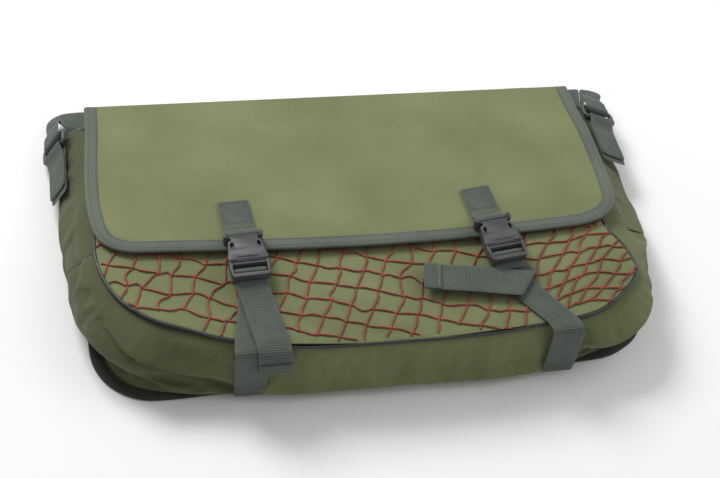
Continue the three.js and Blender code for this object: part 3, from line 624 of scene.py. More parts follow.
def wrinkled(o, pinned):
    """Lets the cloth, cut a little large, settle between its pinned edges."""
    rest = [v.co.copy() for v in o.data.vertices]
    group = o.vertex_groups.new(name="held")
    for index, vertex in enumerate(o.data.vertices):
        group.add([index], pinned(vertex.co / MM), "REPLACE")
    modifier = o.modifiers.new("cloth", "CLOTH")
    for key, value in {"vertex_group_mass": "held", "quality": 6, "mass": 0.2,
                       "tension_stiffness": 30, "compression_stiffness": 12,
                       "bending_stiffness": 1.5, "shrink_min": -CLOTH_EXCESS,
                       "use_pressure": True, "uniform_pressure_force": 0.6}.items():
        setattr(modifier.settings, key, value)
    modifier.settings.effector_weights.gravity = 0.1
    modifier.collision_settings.use_self_collision = False
    modifier.point_cache.frame_start = 1
    modifier.point_cache.frame_end = CLOTH_FRAMES
    for step in range(1, CLOTH_FRAMES + 1):
        bpy.context.scene.frame_set(step)
    settled = o.evaluated_get(bpy.context.evaluated_depsgraph_get()).data
    moved = [v.co.copy() for v in settled.vertices]
    o.modifiers.remove(modifier)
    bpy.context.scene.frame_set(1)
    for vertex, start, end in zip(o.data.vertices, rest, moved):
        shift = end - start
        if shift.length > CLOTH_REACH:
            shift.length = CLOTH_REACH
        vertex.co = start + shift
    o.vertex_groups.clear()


def gusset_piece(name, low, high, steps, node):
    o = laid_out(name, steps, 30, lambda u, v: gusset_point(lerp(low, high, u), v), OLIVE_PAINTED_SHADE)
    wrinkled(o, lambda p: max(1 - smoothstep(0, 9, p.z - FOOT_Z),
                              smoothstep(-12, -5.2, p.z - front_height(p.y)),
                              smoothstep(128, 139, p.y)))
    thicken(o, 1.4, -1.0)
    stands_for(o, node)
    return o


gusset_piece("bottom_gusset_cloth", LEFT_SEAM, RIGHT_SEAM, 200, "bottom_gusset")
gusset_piece("left_gusset_cloth", 0, LEFT_SEAM, 44, "left_side_gusset")
gusset_piece("right_gusset_cloth", RIGHT_SEAM, 1, 44, "right_side_gusset")


# ---------- back ----------
FLANGE = [Vector(row) for row in (
    (-249, 156), (-250, 60), (-250, -60), (-250, -105), (-243, -128), (-230, -144), (-210, -155),
    (-180, -157), (-130, -154), (-70, -151.5), (0, -151), (110, -151.5), (160, -152), (206, -149),
    (228, -140), (243, -128), (250, -110), (250, -60), (250, 60), (249, 156))]
FLANGE_LINE = curve_through(FLANGE, 160)


def back_at(u, v):
    left, right = at_share(FLANGE_LINE, v * 0.5), at_share(FLANGE_LINE, 1 - v * 0.5)
    p = left.lerp(right, u)
    inner = sin(pi * u) * 0.4
    return Vector((p.x, p.y, 1.0 + inner * uneven(p.x * 0.02, p.y * 0.02, 0)))


back = thicken(laid_out("back_cloth", 60, 60, back_at, OLIVE_PAINTED_SHADE), 1.6)
stands_for(back, "back_panel")


def bound_edge(name, line, inward, profile, finish, node, body, gentle=0.0):
    """Folded tape along an edge. A profile point is (out past the edge, up)."""
    last = len(line) - 1

    def at(u, v):
        i = round(v * last)
        p = Vector((*line[i][:2], line[i][2] if len(line[i]) > 2 else 0))
        out = outward(line, i) * inward
        side, up = profile[round(u * (len(profile) - 1))]
        wave = gentle * uneven(i * 0.12, 0, 5)
        return p + out * (side + wave * 0.5) + Vector((0, 0, up + wave))

    o = thicken(laid_out(name, len(profile) - 1, last, at, finish), 0.7)
    stands_for(o, node, body)


back_profile = [(-9, 2.6), (-4, 2.7), (0, 2.5), (1.0, 1.6), (1.0, 0.9), (0, 0.35)]
bound_edge("back_binding", FLANGE_LINE, 1, back_profile, TAPE_PAINTED_SHADOW, "back_seam_binding",
           "bag", 0.4)


# ---------- front ----------
def crossing(line, y, side, instead):
    """How far out a line crosses a level on one side, or its point `instead` if it doesn't."""
    half = [p for p in line if (p[0] < 0) == (side < 0)]
    found = [lerp(a[0], b[0], (y - a[1]) / (b[1] - a[1])) for a, b in zip(half, half[1:])
             if min(a[1], b[1]) <= y <= max(a[1], b[1]) and a[1] != b[1]]
    outermost = min if side < 0 else max
    return outermost(found) if found else half[instead][0]


def rim_side(y, side):
    return crossing(RIM, y, side, -1 if side < 0 else 0)


RIM_LOW = min(r[1] for r in RIM)


def front_at(u, v):
    y = lerp(RIM_LOW + 0.3, MOUTH_Y, 1 - (1 - v) ** 1.25)
    left, right = rim_side(y, -1), rim_side(y, 1)
    x = lerp(left, right, u)
    inner = sin(pi * u) * smoothstep(RIM_LOW, RIM_LOW + 40, y)
    pucker = 1.5 * uneven(x * 0.022, y * 0.03, 1)
    pucker += 0.8 * uneven(x * 0.06, y * 0.05, 5)
    return Vector((x, y, front_height(y) + inner * (pucker - 1.0) - 0.8))


front = thicken(laid_out("front_cloth", 90, 70, front_at, OLIVE), 1.2)
stands_for(front, "front_panel")


def front_surface(x, y):
    left, right = rim_side(y, -1), rim_side(y, 1)
    u = min(max((x - left) / (right - left), 0), 1)
    v = 1 - (1 - min(max((y - RIM_LOW - 0.3) / (MOUTH_Y - RIM_LOW - 0.3), 0), 1)) ** 0.8
    return front_at(u, v).z


hem_line = [(x, MOUTH_Y + 1.5, front_height(MOUTH_Y) - 0.6) for x in range(-236, 238, 4)]
bound_edge("front_mouth_tape", hem_line, -1,
           [(-9, 0.8), (0, 0.9), (1.4, 0.2), (1.4, -0.7), (0, -1.4), (-9, -1.3)],
           TAPE, "front_mouth_hem", "bag")

piping_line = []
for i, row in enumerate(RIM):
    out = outward(RIM, i)
    low_edge = smoothstep(-110, -90, row[0]) * smoothstep(160, 130, row[0]) * (row[1] < -100)
    piping_line.append(Vector((row[0] + out.x * 0.9, row[1] + out.y * 0.9,
                               front_height(row[1]) - 0.9 - 0.3 * low_edge)))
piping = tube("front_piping_cord", [piping_line], 1.25, PIPING, 4)
stands_for(piping, "front_piping")

# ---------- net ----------
NET_TOP = 60.0
NET_START, NET_ACROSS, NET_UP = (-20, -100), (18.3, -5.6), (7.4, 18.0)
TWINE_RADIUS = 0.78


def net_node(i, j):
    """The knot in column i and row j of the pocket's net: square meshes hung askew, pulled
    out into long diamonds towards the right side."""
    x, y = (NET_START[k] + i * NET_ACROSS[k] + j * NET_UP[k] for k in (0, 1))
    pull = smoothstep(90, 215, x)
    x += pull * (0.33 * (y + 115))
    y += pull * (0.16 * (x - 90) - 0.3 * (y + 50))
    wobble = Vector((uneven(i * 1.7, j * 1.3, 2), uneven(i * 1.1, j * 1.9, 9)))
    loose = 6 + 5 * smoothstep(-120, -200, x)
    return x + wobble.x * loose, y + wobble.y * loose


def inside_front(x, y, margin=3.0):
    if not RIM_LOW + 3 + min(margin, 2) < y < NET_TOP + 1:
        return margin < 0 and RIM_LOW - 22 < y < NET_TOP + 20 and abs(x) < 250
    return rim_side(y, -1) + margin < x < rim_side(y, 1) - margin


def bar(a, b, key):
    """A slack length of twine between two knots, bowed to one side and cut at the rim."""
    a, b = Vector(a), Vector(b)
    side = Vector((-(b - a).y, (b - a).x)).normalized()
    bow = 4.2 * uneven(key * 0.73, key * 0.31, 4)
    line = []
    for k in range(11):
        t = k / 10
        p = a.lerp(b, t) + side * (bow * sin(pi * t) + 0.5 * bow * sin(2 * pi * t + key))
        if inside_front(p.x, p.y, 0.4) and p.y > RIM_LOW + 3:
            line.append(Vector((p.x, p.y, front_surface(p.x, p.y) + 0.9 + 0.9 * sin(pi * t))))
        elif line:
            break
    return line


bars = []
knots = []
key = 0
for i in range(-24, 26):
    for j in range(-13, 24):
        here = net_node(i, j)
        if inside_front(*here):
            knots.append(here)
        for other in (net_node(i + 1, j), net_node(i, j + 1)):
            key += 1
            if not (inside_front(*here, -14) and inside_front(*other, -14)):
                continue
            line = bar(here, other, key)
            if len(line) < 3:
                line = bar(other, here, key)
            if len(line) > 2:
                bars.append(line)
net = tube("net_twine", bars, TWINE_RADIUS, TWINE, 1)
stands_for(net, "pocket_net")
knot_places = []
for x, y in knots:
    turn = Matrix.Rotation(rng.uniform(0, TAU), 4, "Z")
    size = Matrix.Diagonal((1.9 * MM, 1.4 * MM, 1.25 * MM, 1))
    place = Vector((x, y, front_surface(x, y) + 1.5)) * MM
    knot_places.append(Matrix.Translation(place) @ turn @ size)
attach(copies("net_knots", KNOT_MODEL, knot_places, TWINE), "bag")
edge_line = [Vector((x, NET_TOP + 1 + 0.8 * sin(x * 0.3), front_surface(x, NET_TOP) + 1.4))
             for x in range(-232, 226, 3)]
net_edge = tube("net_edge_cord", [edge_line], 1.1, TWINE, 2)
stands_for(net_edge, "net_top_cord")

# ---------- flap ----------
FOLD = Vector((0, 158, 43))
FOLD_Y = 157.5
FOLD_RADIUS = 1.6
FLAP_SHARE, TURN_SHARE = 0.8, 0.45  # of the cloth: the flap; of the rest: the turn
# The flap's outline seen from above, from the fold's left end round to its right one.
FLAP_EDGE = [Vector(row) for row in (
    (-242.5, 158), (-243, 120), (-245.5, 70), (-246, 30), (-244.5, 4), (-240.5, -20), (-232, -36),
    (-214, -46.5), (-180, -49.5), (-110, -54), (-40, -56.5), (30, -57), (110, -54.5),
    (170, -50), (206, -45.5), (227, -35), (239, -18), (243, 10), (245, 50), (245, 90),
    (243, 125), (242.5, 158))]
FLAP_LINE = curve_through(FLAP_EDGE, 210)


def flap_height(x, y):
    """Height of the flap's outer face."""
    wave = 0.9 * uneven(x * 0.012, y * 0.012, 21)
    wave += 0.35 * uneven(x * 0.04, y * 0.03, 4)
    near_fold = smoothstep(158, 60, y)
    return FOLD.z + (FOLD.y - y) * SLOPE + wave * near_fold


def flap_side(y, side):
    return crossing(FLAP_LINE, y, side, 0 if side < 0 else -1)


FLAP_LOW = min(p.y for p in FLAP_LINE)


def flap_at(u, v, drop):
    """v runs from the lower edge (0) to the fold (1)."""
    y = lerp(FLAP_LOW + 0.5, FOLD_Y, 1 - (1 - v) ** 1.2) if v < 1 else FOLD_Y
    x = lerp(flap_side(y, -1) + 1, flap_side(y, 1) - 1, u)
    return Vector((x, y, flap_height(x, y) - drop))


def flap_cloth_at(u, v):
    """From the lower edge up over the fold and down the back to the back panel."""
    if v <= FLAP_SHARE:
        return flap_at(u, v / FLAP_SHARE, 0.6)
    turn = (v - FLAP_SHARE) / (1 - FLAP_SHARE)
    top = flap_at(u, 1.0, 0.6)
    if turn < TURN_SHARE:
        angle = turn / TURN_SHARE * pi / 2
        return Vector((top.x, top.y + FOLD_RADIUS * sin(angle),
                       top.z - FOLD_RADIUS * (1 - cos(angle))))
    low = (turn - TURN_SHARE) / (1 - TURN_SHARE)
    sag = 1.2 * sin(pi * low) * uneven(top.x * 0.02, 0, 3)
    return Vector((lerp(top.x, top.x * 1.01, low), top.y + FOLD_RADIUS + sag,
                   lerp(top.z - FOLD_RADIUS, 1.6, low)))


flap_cloth = thicken(laid_out("flap_cloth", 90, 90, flap_cloth_at, OLIVE), 1.0)
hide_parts("flap_outer", "flap_root")
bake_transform(flap_cloth)
flap_lining = thicken(laid_out("flap_inner_cloth", 60, 60,
                               lambda u, v: flap_at(u, v, 2.0), LINING), 0.8)
stands_for(flap_lining, "flap_lining", "flap")

flap_edge3 = [Vector((p.x, p.y, flap_height(p.x, p.y))) for p in FLAP_LINE]
flap_profile = [(-11.8, -0.1), (-11, 0.35), (-6, 0.75), (-1.6, 0.7), (-0.2, 0.1), (0.3, -1.1),
                (-0.2, -2.2), (-1.6, -2.9), (-6, -3.1), (-11.8, -2.9)]
bound_edge("flap_tape", flap_edge3, 1, flap_profile, TAPE, "flap_binding", "flap", 0.25)


def flap_row(inset, lift):
    row = []
    for i, p in enumerate(FLAP_LINE):
        out = outward(FLAP_LINE, i)
        x, y = p.x - out.x * inset, p.y - out.y * inset
        row.append((Vector((x, y, flap_height(p.x, p.y) + lift)), (0, 0.127, 0.99)))
    return row


sew("flap_stitching", [flap_row(10.2, 0.75), flap_row(3.4, 1.0)], GREEN_THREAD, "flap")


# ---------- buckles ----------
BUCKLE_Z = 72.2


def buckle_place(x, y, turn):
    place = Matrix.Translation(Vector((x, y, BUCKLE_Z)) * MM)
    return place @ Matrix.Rotation(radians(turn), 4, "Z")


PLACES = {"left": buckle_place(-113.6, -42.3, 3.5), "right": buckle_place(111.8, -41.5, 8)}


def prism(name, outline, low, high):
    """A block with the given outline, extruded from a filled circle."""
    deselect()
    bpy.ops.mesh.primitive_circle_add(vertices=len(outline), radius=1, fill_type="NGON")
    o = bpy.context.object
    o.name = name
    for vertex, (x, y) in zip(o.data.vertices, outline):
        vertex.co = Vector((x, y, low)) * MM
    bpy.ops.object.mode_set(mode="EDIT")
    bpy.ops.mesh.select_all(action="SELECT")
    bpy.ops.mesh.extrude_region_move(
        TRANSFORM_OT_translate={"value": (0, 0, (high - low) * MM)})
    bpy.ops.mesh.select_all(action="SELECT")
    bpy.ops.mesh.normals_make_consistent(inside=False)
    bpy.ops.object.mode_set(mode="OBJECT")
    return o


def block(name, low, high):
    (x0, y0, z0), (x1, y1, z1) = low, high
    return prism(name, [(x0, y0), (x1, y0), (x1, y1), (x0, y1)], z0, z1)


def oval(name, x, y, half_width, half_height, low, high, turn):
    outline = []
    for k in range(20):
        a = TAU * k / 20
        px, py = half_width * cos(a), half_height * sin(a)
        outline.append((x + px * cos(turn) - py * sin(turn),
                        y + px * sin(turn) + py * cos(turn)))
    return prism(name, outline, low, high)


def cut_out(o, cutter):
    modify(o, "BOOLEAN", object=cutter, operation="DIFFERENCE", solver="EXACT")
    bpy.data.objects.remove(cutter, do_unlink=True)


def mirrored(half):
    return half + [(-x, y) for x, y in reversed(half)]


def finished(o, finish, bevel, segments=2):
    modify(o, "BEVEL", width=bevel * MM, segments=segments, limit_method="ANGLE",
           angle_limit=radians(42), use_clamp_overlap=True)
    coat(o, finish)
    smooth_faces(o, 38)
    return o


def merged(o, extras):
    """Further plastic pieces moulded on to o."""
    deselect()
    for extra in extras:
        extra.data.materials.append(PLASTIC.material)
        extra.select_set(True)
    o.select_set(True)
    bpy.context.view_layer.objects.active = o
    bpy.ops.object.join()
    smooth_faces(o, 38)
    return o


def put(o, name, place):
    """A copy with its own mesh, its place in the mesh."""
    twin = o.copy()
    twin.data = o.data.copy()
    twin.name = name
    twin.data.transform(place)
    bpy.context.scene.collection.objects.link(twin)
    return twin


def socket_model():
    half = [(0, 0), (14.6, 0), (16.6, -0.8), (17.4, -2.6), (17.3, -5.0), (16.0, -6.2),
            (12.8, -6.8), (11.5, -8.4), (12.0, -10.2), (14.0, -11.2), (15.0, -13.6), (15.5, -18),
            (16.2, -24), (17.4, -29.5), (17.4, -32)]
    o = prism("socket", mirrored(half[1:]), 0, 10.5)
    for side in (-1, 1):
        low, high = sorted((side * 11.8, side * 19))
        cut_out(o, block("cut", (low, -13.4, 1.2), (high, -6.4, 8.6)))
        cut_out(o, oval("cut", side * 12.0, -15.6, 1.6, 3.5, 7.2, 12, side * 0.22))
    for low, high in (((-12.6, -33, 2), (12.6, -8, 8.4)), ((-14.9, -6, -1), (14.9, -2.8, 12)),
                      ((-14.9, -3.8, 7), (14.9, 1, 12)), ((-14.9, -3.8, -1), (14.9, 1, 3))):
        cut_out(o, block("cut", low, high))
    cut_out(o, prism("cut", [(-11, -33), (11, -33), (9, -28.6), (-9, -28.6)], 9.9, 12))
    finished(o, PLASTIC, 0.4)
    rims = []
    for side in (-1, 1):
        bpy.ops.mesh.primitive_torus_add(major_segments=28, minor_segments=8,
                                         major_radius=2.15 * MM, minor_radius=0.55 * MM)
        ring = bpy.context.object
        ring.data.transform(Matrix.Translation(Vector((side * 12, -15.6, 10.5)) * MM)
                            @ Matrix.Rotation(side * 0.22, 4, "Z")
                            @ Matrix.Diagonal((1, 1.75, 0.9, 1)))
        rims.append(ring)
    return merged(o, rims)


def plug_model():
    half = [(17.4, -32.3), (17.3, -40), (16.6, -47.5), (15.6, -49.4), (13.6, -50)]
    o = prism("plug", mirrored(half), 0.8, 9.6)
    for low, high in (((-14.9, -46.4, 3.4), (14.9, -36.4, 12)),
                      ((-14.9, -46.4, -1), (14.9, -36.4, 4)), ((-14.9, -52, -1), (14.9, -45, 3.4)),
                      ((-15.6, -34.6, 8.2), (15.6, -33.2, 12))):
        cut_out(o, block("cut", low, high))
    finished(o, PLASTIC, 0.75, 3)
    bpy.ops.mesh.primitive_cylinder_add(vertices=20, radius=1.6 * MM, depth=31 * MM)
    rod = bpy.context.object
    rod.data.transform(Matrix.Translation(Vector((0, -41.8, 4.75)) * MM)
                       @ Matrix.Rotation(pi / 2, 4, "Y"))
    return merged(o, [rod, block("tongue", (-4.4, -33.3, 3.5), (4.4, -13, 7))])


def prong_model(side):
    outline = [(9.3, -32), (12.3, -32), (12.3, -12.9), (13.9, -12.7), (14.3, -10.6), (13.6, -9.0),
               (12.2, -8.6), (10.3, -9.2), (9.3, -15.7)]
    outline = [(side * x, y) for x, y in outline]
    return finished(prism("prong", outline, 2.75, 7.75), PLASTIC, 0.6)


socket, plug = socket_model(), plug_model()
prong = {"a": prong_model(1), "b": prong_model(-1)}
for name, place in PLACES.items():
    o = put(socket, f"{name}_socket", place)
    stands_for(o, f"{name}_buckle_socket", "flap")
    o = put(plug, f"{name}_plug_frame", place)
    stands_for(o, f"{name}_buckle_plug", f"{name}_plug")
    for letter, model in prong.items():
        o = put(model, f"{name}_prong_{letter}_arm", place)
        stands_for(o, f"{name}_buckle_prong_{letter}", f"{name}_prong_{letter}")
for model in (socket, plug, *prong.values()):
    bpy.data.objects.remove(model, do_unlink=True)

# ---------- webbing on the flap and at the plugs ----------
TAB_LOOP = [(6, -0.2), (2.5, 0.8), (-0.5, 1.6), (-3, 2), (-4.3, 3.6), (-4.3, 6.2),
            (-2.7, 8.1), (-0.4, 8.2), (1.3, 7.1), (2.7, 5.3), (6, 2.9)]
STRAP_LOOP = [(-62, -3.0), (-52, -1.5), (-46, -0.7), (-42, -0.5), (-39.9, 0.6), (-38.9, 3),
              (-39.2, 5.6), (-41, 7.3), (-43.2, 7.3), (-44.8, 5.6), (-45.3, 3.6), (-46.6, 2.2),
              (-50, 1.5), (-56, 0.5)]
RIGHT_WAYS = Vector((1, 0, 0))


def local(name, y, z):
    return (PLACES[name] @ (Vector((0, y, z)) * MM)) / MM


def tab_stations(name, across):
    middle = local(name, 0, 0)

    def on_flap(x, y, lift):
        return Vector((x, y, flap_height(x, y) + lift))

    x, y = middle.x, middle.y
    points = [on_flap(x - 2.5, 8, 1.1), on_flap(x - 1.5, (8 + y + 14) / 2, 1.1),
              on_flap(x - 0.3, y + 14, 1.5), *(local(name, *p) for p in TAB_LOOP),
              on_flap(x - 0.3, y + 13, 3.3), on_flap(x - 1.5, (8 + y + 14) / 2, 2.7),
              on_flap(x - 2.5, 8, 2.7)]
    return along(points, across, across, 90)


def front_over(x, y, lift):
    return Vector((x, y, max(front_surface(x, y), front_height(y) - 1.2) + lift))


def strap_stations(name, foot_x, edge_x, across):
    loop = [local(name, *p) for p in STRAP_LOOP]
    below = loop[0]
    points = [Vector((foot_x, -164.3, 7.5)), Vector((foot_x, -165.2, 20)),
              Vector((foot_x, -166.4, 34)), Vector((lerp(foot_x, edge_x, 0.4), -167.0, 47)),
              Vector((lerp(foot_x, edge_x, 0.7), -166.5, DEPTH - 7)),
              Vector((edge_x, -165.6, DEPTH - 1)), Vector((edge_x, -162.2, DEPTH + 2.3)),
              front_over(lerp(edge_x, below.x, 0.1), -152, 3.2),
              front_over(lerp(edge_x, below.x, 0.5), lerp(-159, below.y, 0.5), 3.0),
              front_over(lerp(edge_x, below.x, 0.8), lerp(-159, below.y, 0.8), 3.0), *loop]
    return along(points, RIGHT_WAYS, across, 130, lambda s: smoothstep(0.2, 0.6, s))


def box_rows(stations, first, last, width, lift, cross=True):
    """Stitched box on a band, with its two diagonals."""
    def point(s, w):
        i = int(lerp(first, last, s))
        middle, across = stations[i]
        ahead = (stations[min(i + 1, len(stations) - 1)][0]
                 - stations[max(i - 1, 0)][0]).normalized()
        normal = across.cross(ahead).normalized()
        if normal.z < 0:
            normal = -normal
        return middle + across * (w * width) + normal * lift, normal

    def row(s0, w0, s1, w1):
        return [point(lerp(s0, s1, k / 12), lerp(w0, w1, k / 12)) for k in range(13)]

    rows = [row(0, -0.41, 0, 0.41), row(1, -0.41, 1, 0.41), row(0, -0.41, 1, -0.41),
            row(0, 0.41, 1, 0.41)]
    if cross:
        rows += [row(0, -0.41, 1, 0.41), row(0, 0.41, 1, -0.41)]
    return rows


for name, foot_x, edge_x in (("left", -118, -118.5), ("right", 156.5, 156)):
    across = (PLACES[name].to_3x3() @ RIGHT_WAYS).normalized()
    stations = tab_stations(name, across)
    o = band(f"{name}_tab_webbing", stations, WEBBING)
    stands_for(o, f"{name}_flap_tab", "flap")
    last = len(stations) - 1
    rows = box_rows(stations, last - 2, last - 22, WEBBING_WIDTH, 0.85)
    sew(f"{name}_tab_stitching", rows, GREEN_THREAD, "flap")
    rows = [box_rows(stations, last - 27, last - 28, WEBBING_WIDTH, 0.9, False)[0]]
    sew(f"{name}_tab_thread", rows, MUSTARD_THREAD, "flap")
    stations = strap_stations(name, foot_x, edge_x, across)
    o = band(f"{name}_closure_webbing", stations, WEBBING)
    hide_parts(f"{name}_closure_strap")
    x = stations[-1][0].x * MM
    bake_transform(o)
    rows = [box_rows(stations, first, first + 1, WEBBING_WIDTH, 0.85, False)[0]
            for first in (1, 7)]
    sew(f"{name}_foot_thread", rows, MUSTARD_THREAD)

left_tail = [Vector(p) for p in (
    (-110.5, -97, DEPTH + 7.0), (-109.6, -101, DEPTH + 6.4), (-107, -115, DEPTH + 5.4),
    (-102, -145, DEPTH + 5.4), (-100, -157, DEPTH + 5.6), (-99.2, -166, DEPTH + 3.4),
    (-99, -169, DEPTH - 1), (-98.7, -170.2, DEPTH - 8), (-98.6, -170.4, 51), (-98.6, -170.4, 47))]
stations = along(left_tail, RIGHT_WAYS, RIGHT_WAYS, 60)
o = band("left_tail_webbing", stations, WEBBING)
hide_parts("left_strap_tail")
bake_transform(o)
hem_stations = [(p + Vector((0, -1.6, 0)), a) for p, a in stations[-9:]]
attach(band("left_tail_hem", hem_stations, WEBBING, 28.6, 1.4), "bag")
sew("left_tail_thread", [box_rows(hem_stations, 1, 2, 28, 0.9, False)[0]], GREEN_THREAD)


def folded_at(start, heading, crease_s, crease_turn, length, width, radius):
    """A flat band that runs along heading and is folded over on a slanting crease."""
    ahead = Vector((cos(heading), sin(heading)))
    side = Vector((-ahead.y, ahead.x))
    normal2 = Vector((cos(crease_turn), sin(crease_turn)))

    def at(u, v):
        s, w = v * length, (u - 0.5) * width
        flat = start + ahead * s + side * w
        middle = start + ahead * crease_s
        past = (flat - middle).dot(normal2)
        rise = 0.0
        if past > 0:
            arc = pi * radius
            if past < arc:
                offset = radius * sin(past / radius)
                rise = radius * (1 - cos(past / radius))
            else:
                offset, rise = arc - past, 2 * radius
            flat = flat + normal2 * (offset - past)
        return Vector((flat.x, flat.y, front_over(flat.x, flat.y, 0).z + rise))

    return at


# The crease runs at 54 degrees; its normal points on past it, down and to the right.
TAIL_LENGTH = 118.0
tail_at = folded_at(Vector((121.8, -93.5)), radians(-62), 21, radians(-36),
                    TAIL_LENGTH, WEBBING_WIDTH, 1.5)


def right_tail_at(u, v):
    p = tail_at(u, v)
    s = v * TAIL_LENGTH
    p.z += 5.2 + 1.2 * smoothstep(14, 0, s) + 1.3 * sin(
        pi * smoothstep(30, TAIL_LENGTH, s)) * (0.5 + u * 0.5)
    return p


o = thicken(laid_out("right_tail_webbing", 8, 100, right_tail_at, WEBBING), 1.4)
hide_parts("right_strap_tail")
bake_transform(o)
HEM_SHARE = 0.87


def right_hem_at(u, v):
    p = right_tail_at(u, lerp(HEM_SHARE, 1.004, v))
    p.z += 1.5
    return p


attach(thicken(laid_out("right_tail_hem", 8, 16, right_hem_at, WEBBING), 1.4), "bag")
hem_row = [(right_hem_at(lerp(0.08, 0.92, k / 10), 0.16) + Vector((0, 0, 0.85)), (0, 0, 1))
           for k in range(11)]
sew("right_tail_thread", [hem_row], MUSTARD_THREAD)

# ---------- side tabs, rings and the shoulder strap ----------
TAB_LENGTH, TAB_TOP_Y = 62.0, 118
RING_ROD, RING_GAP, HALF_THICKNESS = 2.2, 0.3, 0.75
TAB_RADIUS = RING_ROD + RING_GAP + HALF_THICKNESS
TAB_LIFT = 0.9 + HALF_THICKNESS
RING_AXIS_Z = TAB_LIFT + TAB_RADIUS
RING_REACH = 15.0


def cad_gusset(side, y, rise):
    """The side gusset's plain surface, which the tab is placed on."""
    bulge = (30 if side < 0 else 38) * sin(pi * rise)
    x = lerp(240, 238, rise) + bulge
    return Vector((side * x, y, lerp(2.3, front_height(y) - 5.1, rise)))


def side_frame(side, rise):
    middle_y = TAB_TOP_Y - TAB_LENGTH / 2
    middle = cad_gusset(side, middle_y, rise)
    ahead = (cad_gusset(side, middle_y + 10, rise) - middle).normalized()
    upward = (cad_gusset(side, middle_y, rise + 0.05) - middle).normalized()
    out = ahead.cross(upward).normalized()
    if out.x * side < 0:
        out = -out
    across = ahead.cross(out)
    return Matrix.Translation(middle) @ Matrix((across, ahead, out)).transposed().to_4x4()


def tab_course(place):
    def at(y, z):
        return place @ Vector((0, y, z)), (place.to_3x3() @ RIGHT_WAYS).normalized()

    half = TAB_LENGTH / 2
    stations = [at(-half, TAB_LIFT), at(-half * 0.6, TAB_LIFT), at(0, TAB_LIFT),
                at(half * 0.5, TAB_LIFT)]
    for i in range(15):
        a = -pi / 2 + i / 14 * 1.15 * pi
        stations.append(at(half + TAB_RADIUS * cos(a), RING_AXIS_Z + TAB_RADIUS * sin(a)))
    stations += [at(half - 6, TAB_LIFT + 4.3), at(half - 10, TAB_LIFT + 2.6),
                 at(half - 16, TAB_LIFT + 1.9), at(0, TAB_LIFT + 1.8),
                 at(-half * 0.5, TAB_LIFT + 1.8), at(-half + 6, TAB_LIFT + 1.8)]
    return stations


def ring_model(place):
    half = WEBBING_WIDTH / 2 + RING_GAP + 1 + RING_ROD
    r = 3.4
    y0, y1 = TAB_LENGTH / 2, TAB_LENGTH / 2 + RING_REACH
    line = []
    for cx, cy, start in ((half - r, y0 + r, -90), (half - r, y1 - r, 0),
                          (-half + r, y1 - r, 90), (-half + r, y0 + r, 180)):
        for k in range(7):
            a = radians(start + k * 15)
            line.append(place @ Vector((cx + r * cos(a), cy + r * sin(a), RING_AXIS_Z)))
    return line


RINGS = {"left": side_frame(-1, 0.55), "right": side_frame(1, 0.72)}

for name, place in RINGS.items():
    stations = tab_course(place)
    o = band(f"{name}_side_webbing", stations, WEBBING)
    stands_for(o, f"{name}_side_tab")
    last = len(stations) - 1
    out = place.to_3x3() @ Vector((0, 0, 1))

    def tab_row(y0, x0, y1, x1, place=place, out=out):
        return [(place @ Vector((lerp(x0, x1, k / 12), lerp(y0, y1, k / 12), TAB_LIFT + 2.6)), out)
                for k in range(13)]

    w = 12.0
    rows = [tab_row(-24, -w, -24, w), tab_row(6, -w, 6, w), tab_row(-24, -w, 6, -w),
            tab_row(-24, w, 6, w), tab_row(-24, -w, 6, w), tab_row(-24, w, 6, -w)]
    sew(f"{name}_side_stitching", rows, GREEN_THREAD)
    rows = [tab_row(13, -w, 13, w)]
    sew(f"{name}_side_thread", rows, MUSTARD_THREAD)
    o = tube(f"{name}_ring", [ring_model(place)], RING_ROD, PLASTIC, 4, closed=True)
    stands_for(o, f"{name}_side_ring", f"{name}_ring")

RING_LOOP = [(5, -1), (2.5, -1), (-0.7, -0.7), (-1, 0), (-0.7, 0.7), (0, 1.02), (5, 0.9),
             (13, 0.8), (22, -0.1)]


def strap_end(place):
    points = []
    for i, (ahead, up) in enumerate(RING_LOOP):
        y = ahead * TAB_RADIUS if 1 < i < 6 else ahead
        points.append((place @ Vector((0, TAB_LENGTH / 2 + RING_REACH + y,
                                       RING_AXIS_Z + up * TAB_RADIUS)), 0.0))
    return points


LAY_Y, LIFT, LAYER = 176.0, 1.4, 1.9
LEFT_FOLD, RIGHT_FOLD = -200.0, 140.0
SLIDER_X, SLIDER_Z = 204.0, LIFT + 2 * LAYER + 0.6


def laid(x, level):
    return Vector((x, LAY_Y, LIFT + level * LAYER)), 1.0


course = [
    *strap_end(RINGS["left"]), (Vector((-273, 163, 20)), 0.4), (Vector((-262, 171, 12)), 0.8),
    (Vector((-240, LAY_Y, 5)), 1.0), laid(-215, 0.4), laid(LEFT_FOLD + 15, 0), laid(-30, 0),
    laid(RIGHT_FOLD - 15, 0), laid(RIGHT_FOLD, 0), laid(RIGHT_FOLD + 1.1, 0.5),
    laid(RIGHT_FOLD, 1), laid(RIGHT_FOLD - 15, 1), laid(-30, 1), laid(LEFT_FOLD + 15, 1),
    laid(LEFT_FOLD, 1), laid(LEFT_FOLD - 1.1, 1.5), laid(LEFT_FOLD, 2), laid(LEFT_FOLD + 15, 2),
    laid(-30, 2), laid(RIGHT_FOLD - 15, 2),
    *[(Vector((SLIDER_X + dx, LAY_Y, SLIDER_Z)), 1.0) for dx in (-45, -15, 15, 36, 50)],
    (Vector((267, 171, 13)), 0.8), (Vector((277, 163, 22)), 0.4),
    *reversed(strap_end(RINGS["right"]))]


def across_ring(place):
    across = place.to_3x3() @ RIGHT_WAYS
    return -across if across.z > 0 else across


def course_point(i):
    return course[min(max(i, 0), len(course) - 1)][0]


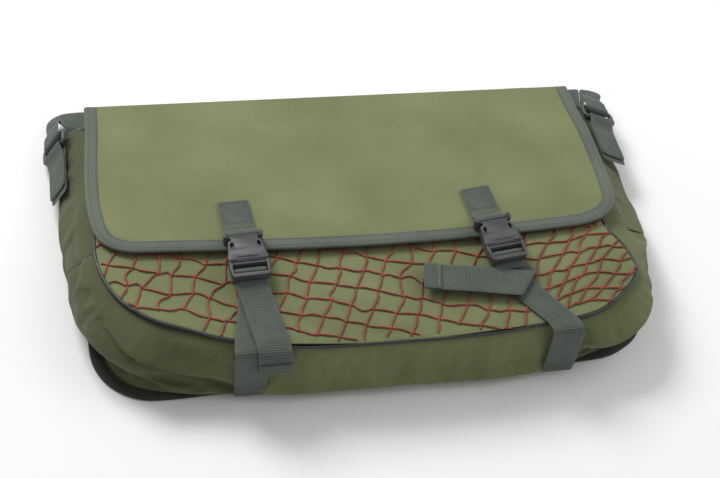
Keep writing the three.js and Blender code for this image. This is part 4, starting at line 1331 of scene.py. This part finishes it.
def course_stations(first, last, steps=4):
    """Centripetal curve through the course between two of its points."""
    found = []
    for k in range((last - first) * steps + 1):
        place = first + k / steps
        i = min(int(place), len(course) - 2)
        t = place - i
        p0, p1, p2, p3 = (course_point(i + n) for n in (-1, 0, 1, 2))
        d1, d2, d3 = (max((b - a).length, 0.01) ** 0.5
                      for a, b in ((p0, p1), (p1, p2), (p2, p3)))
        m1 = (p1 - p0) / d1 - (p2 - p0) / (d1 + d2) + (p2 - p1) / d2 if i else (p2 - p1) / d2
        m2 = (p2 - p1) / d2 - (p3 - p1) / (d2 + d3) + (p3 - p2) / d3
        m1, m2 = m1 * d2, m2 * d2
        p = ((2 * t ** 3 - 3 * t * t + 1) * p1 + (t ** 3 - 2 * t * t + t) * m1
             + (3 * t * t - 2 * t ** 3) * p2 + (t ** 3 - t * t) * m2)
        turn = lerp(course[i][1], course[i + 1][1], t)
        ring = across_ring(RINGS["left" if place < (len(course) - 1) / 2 else "right"])
        found.append((p, ring.lerp(Vector((0, 1, 0)), turn).normalized()))
    return found


end = len(course) - 1
o = band("strap_middle", course_stations(11, end - 10), WEBBING)
stands_for(o, "shoulder_strap")
for name, first, last in (("left", 0, 11), ("right", end - 10, end)):
    o = band(f"strap_{name}_end", course_stations(first, last), WEBBING)
    tip = course[0 if name == "left" else end][0]
    side = -1 if name == "left" else 1
    Vector((side * 250, 174, 8)) * MM
    tip * MM
    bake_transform(o)

# ---------- gusset mouth tapes ----------
for name, share in (("left", 0.0), ("right", 1.0)):
    def mouth_at(u, v, share=share):
        half = TAU * (u * 0.62 + 0.19)
        p = gusset_point(share, lerp(0.03, 0.97, v), 0.4 + 1.5 * cos(half))
        p.y += 1.2 - 10.5 * (abs(u - 0.5) * 2) ** 1.4
        p.z += 0.4
        return p

    o = thicken(laid_out(f"{name}_mouth_tape", 10, 30, mouth_at, TAPE), 0.7)
    stands_for(o, f"{name}_mouth_binding")

# ---------- the slider, kept from the frame ----------
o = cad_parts["strap_slider"]
o.data.materials.clear()
o.data.materials.append(PLASTIC.material)

for model in (STITCH_MODEL, KNOT_MODEL):
    bpy.data.objects.remove(model, do_unlink=True)

# ---------- floor ----------
deselect()
bpy.ops.mesh.primitive_plane_add(size=8, location=(0, 0, 0))
floor = bpy.context.object
floor.name = "floor"
floor.data.transform(Matrix.Translation((0, 0, -0.0004)))
pale = Finish("pale floor", None)
pale.set(Base_Color=rgb(0.93, 0.93, 0.93), Roughness=0.8)
floor.data.materials.append(pale.material)
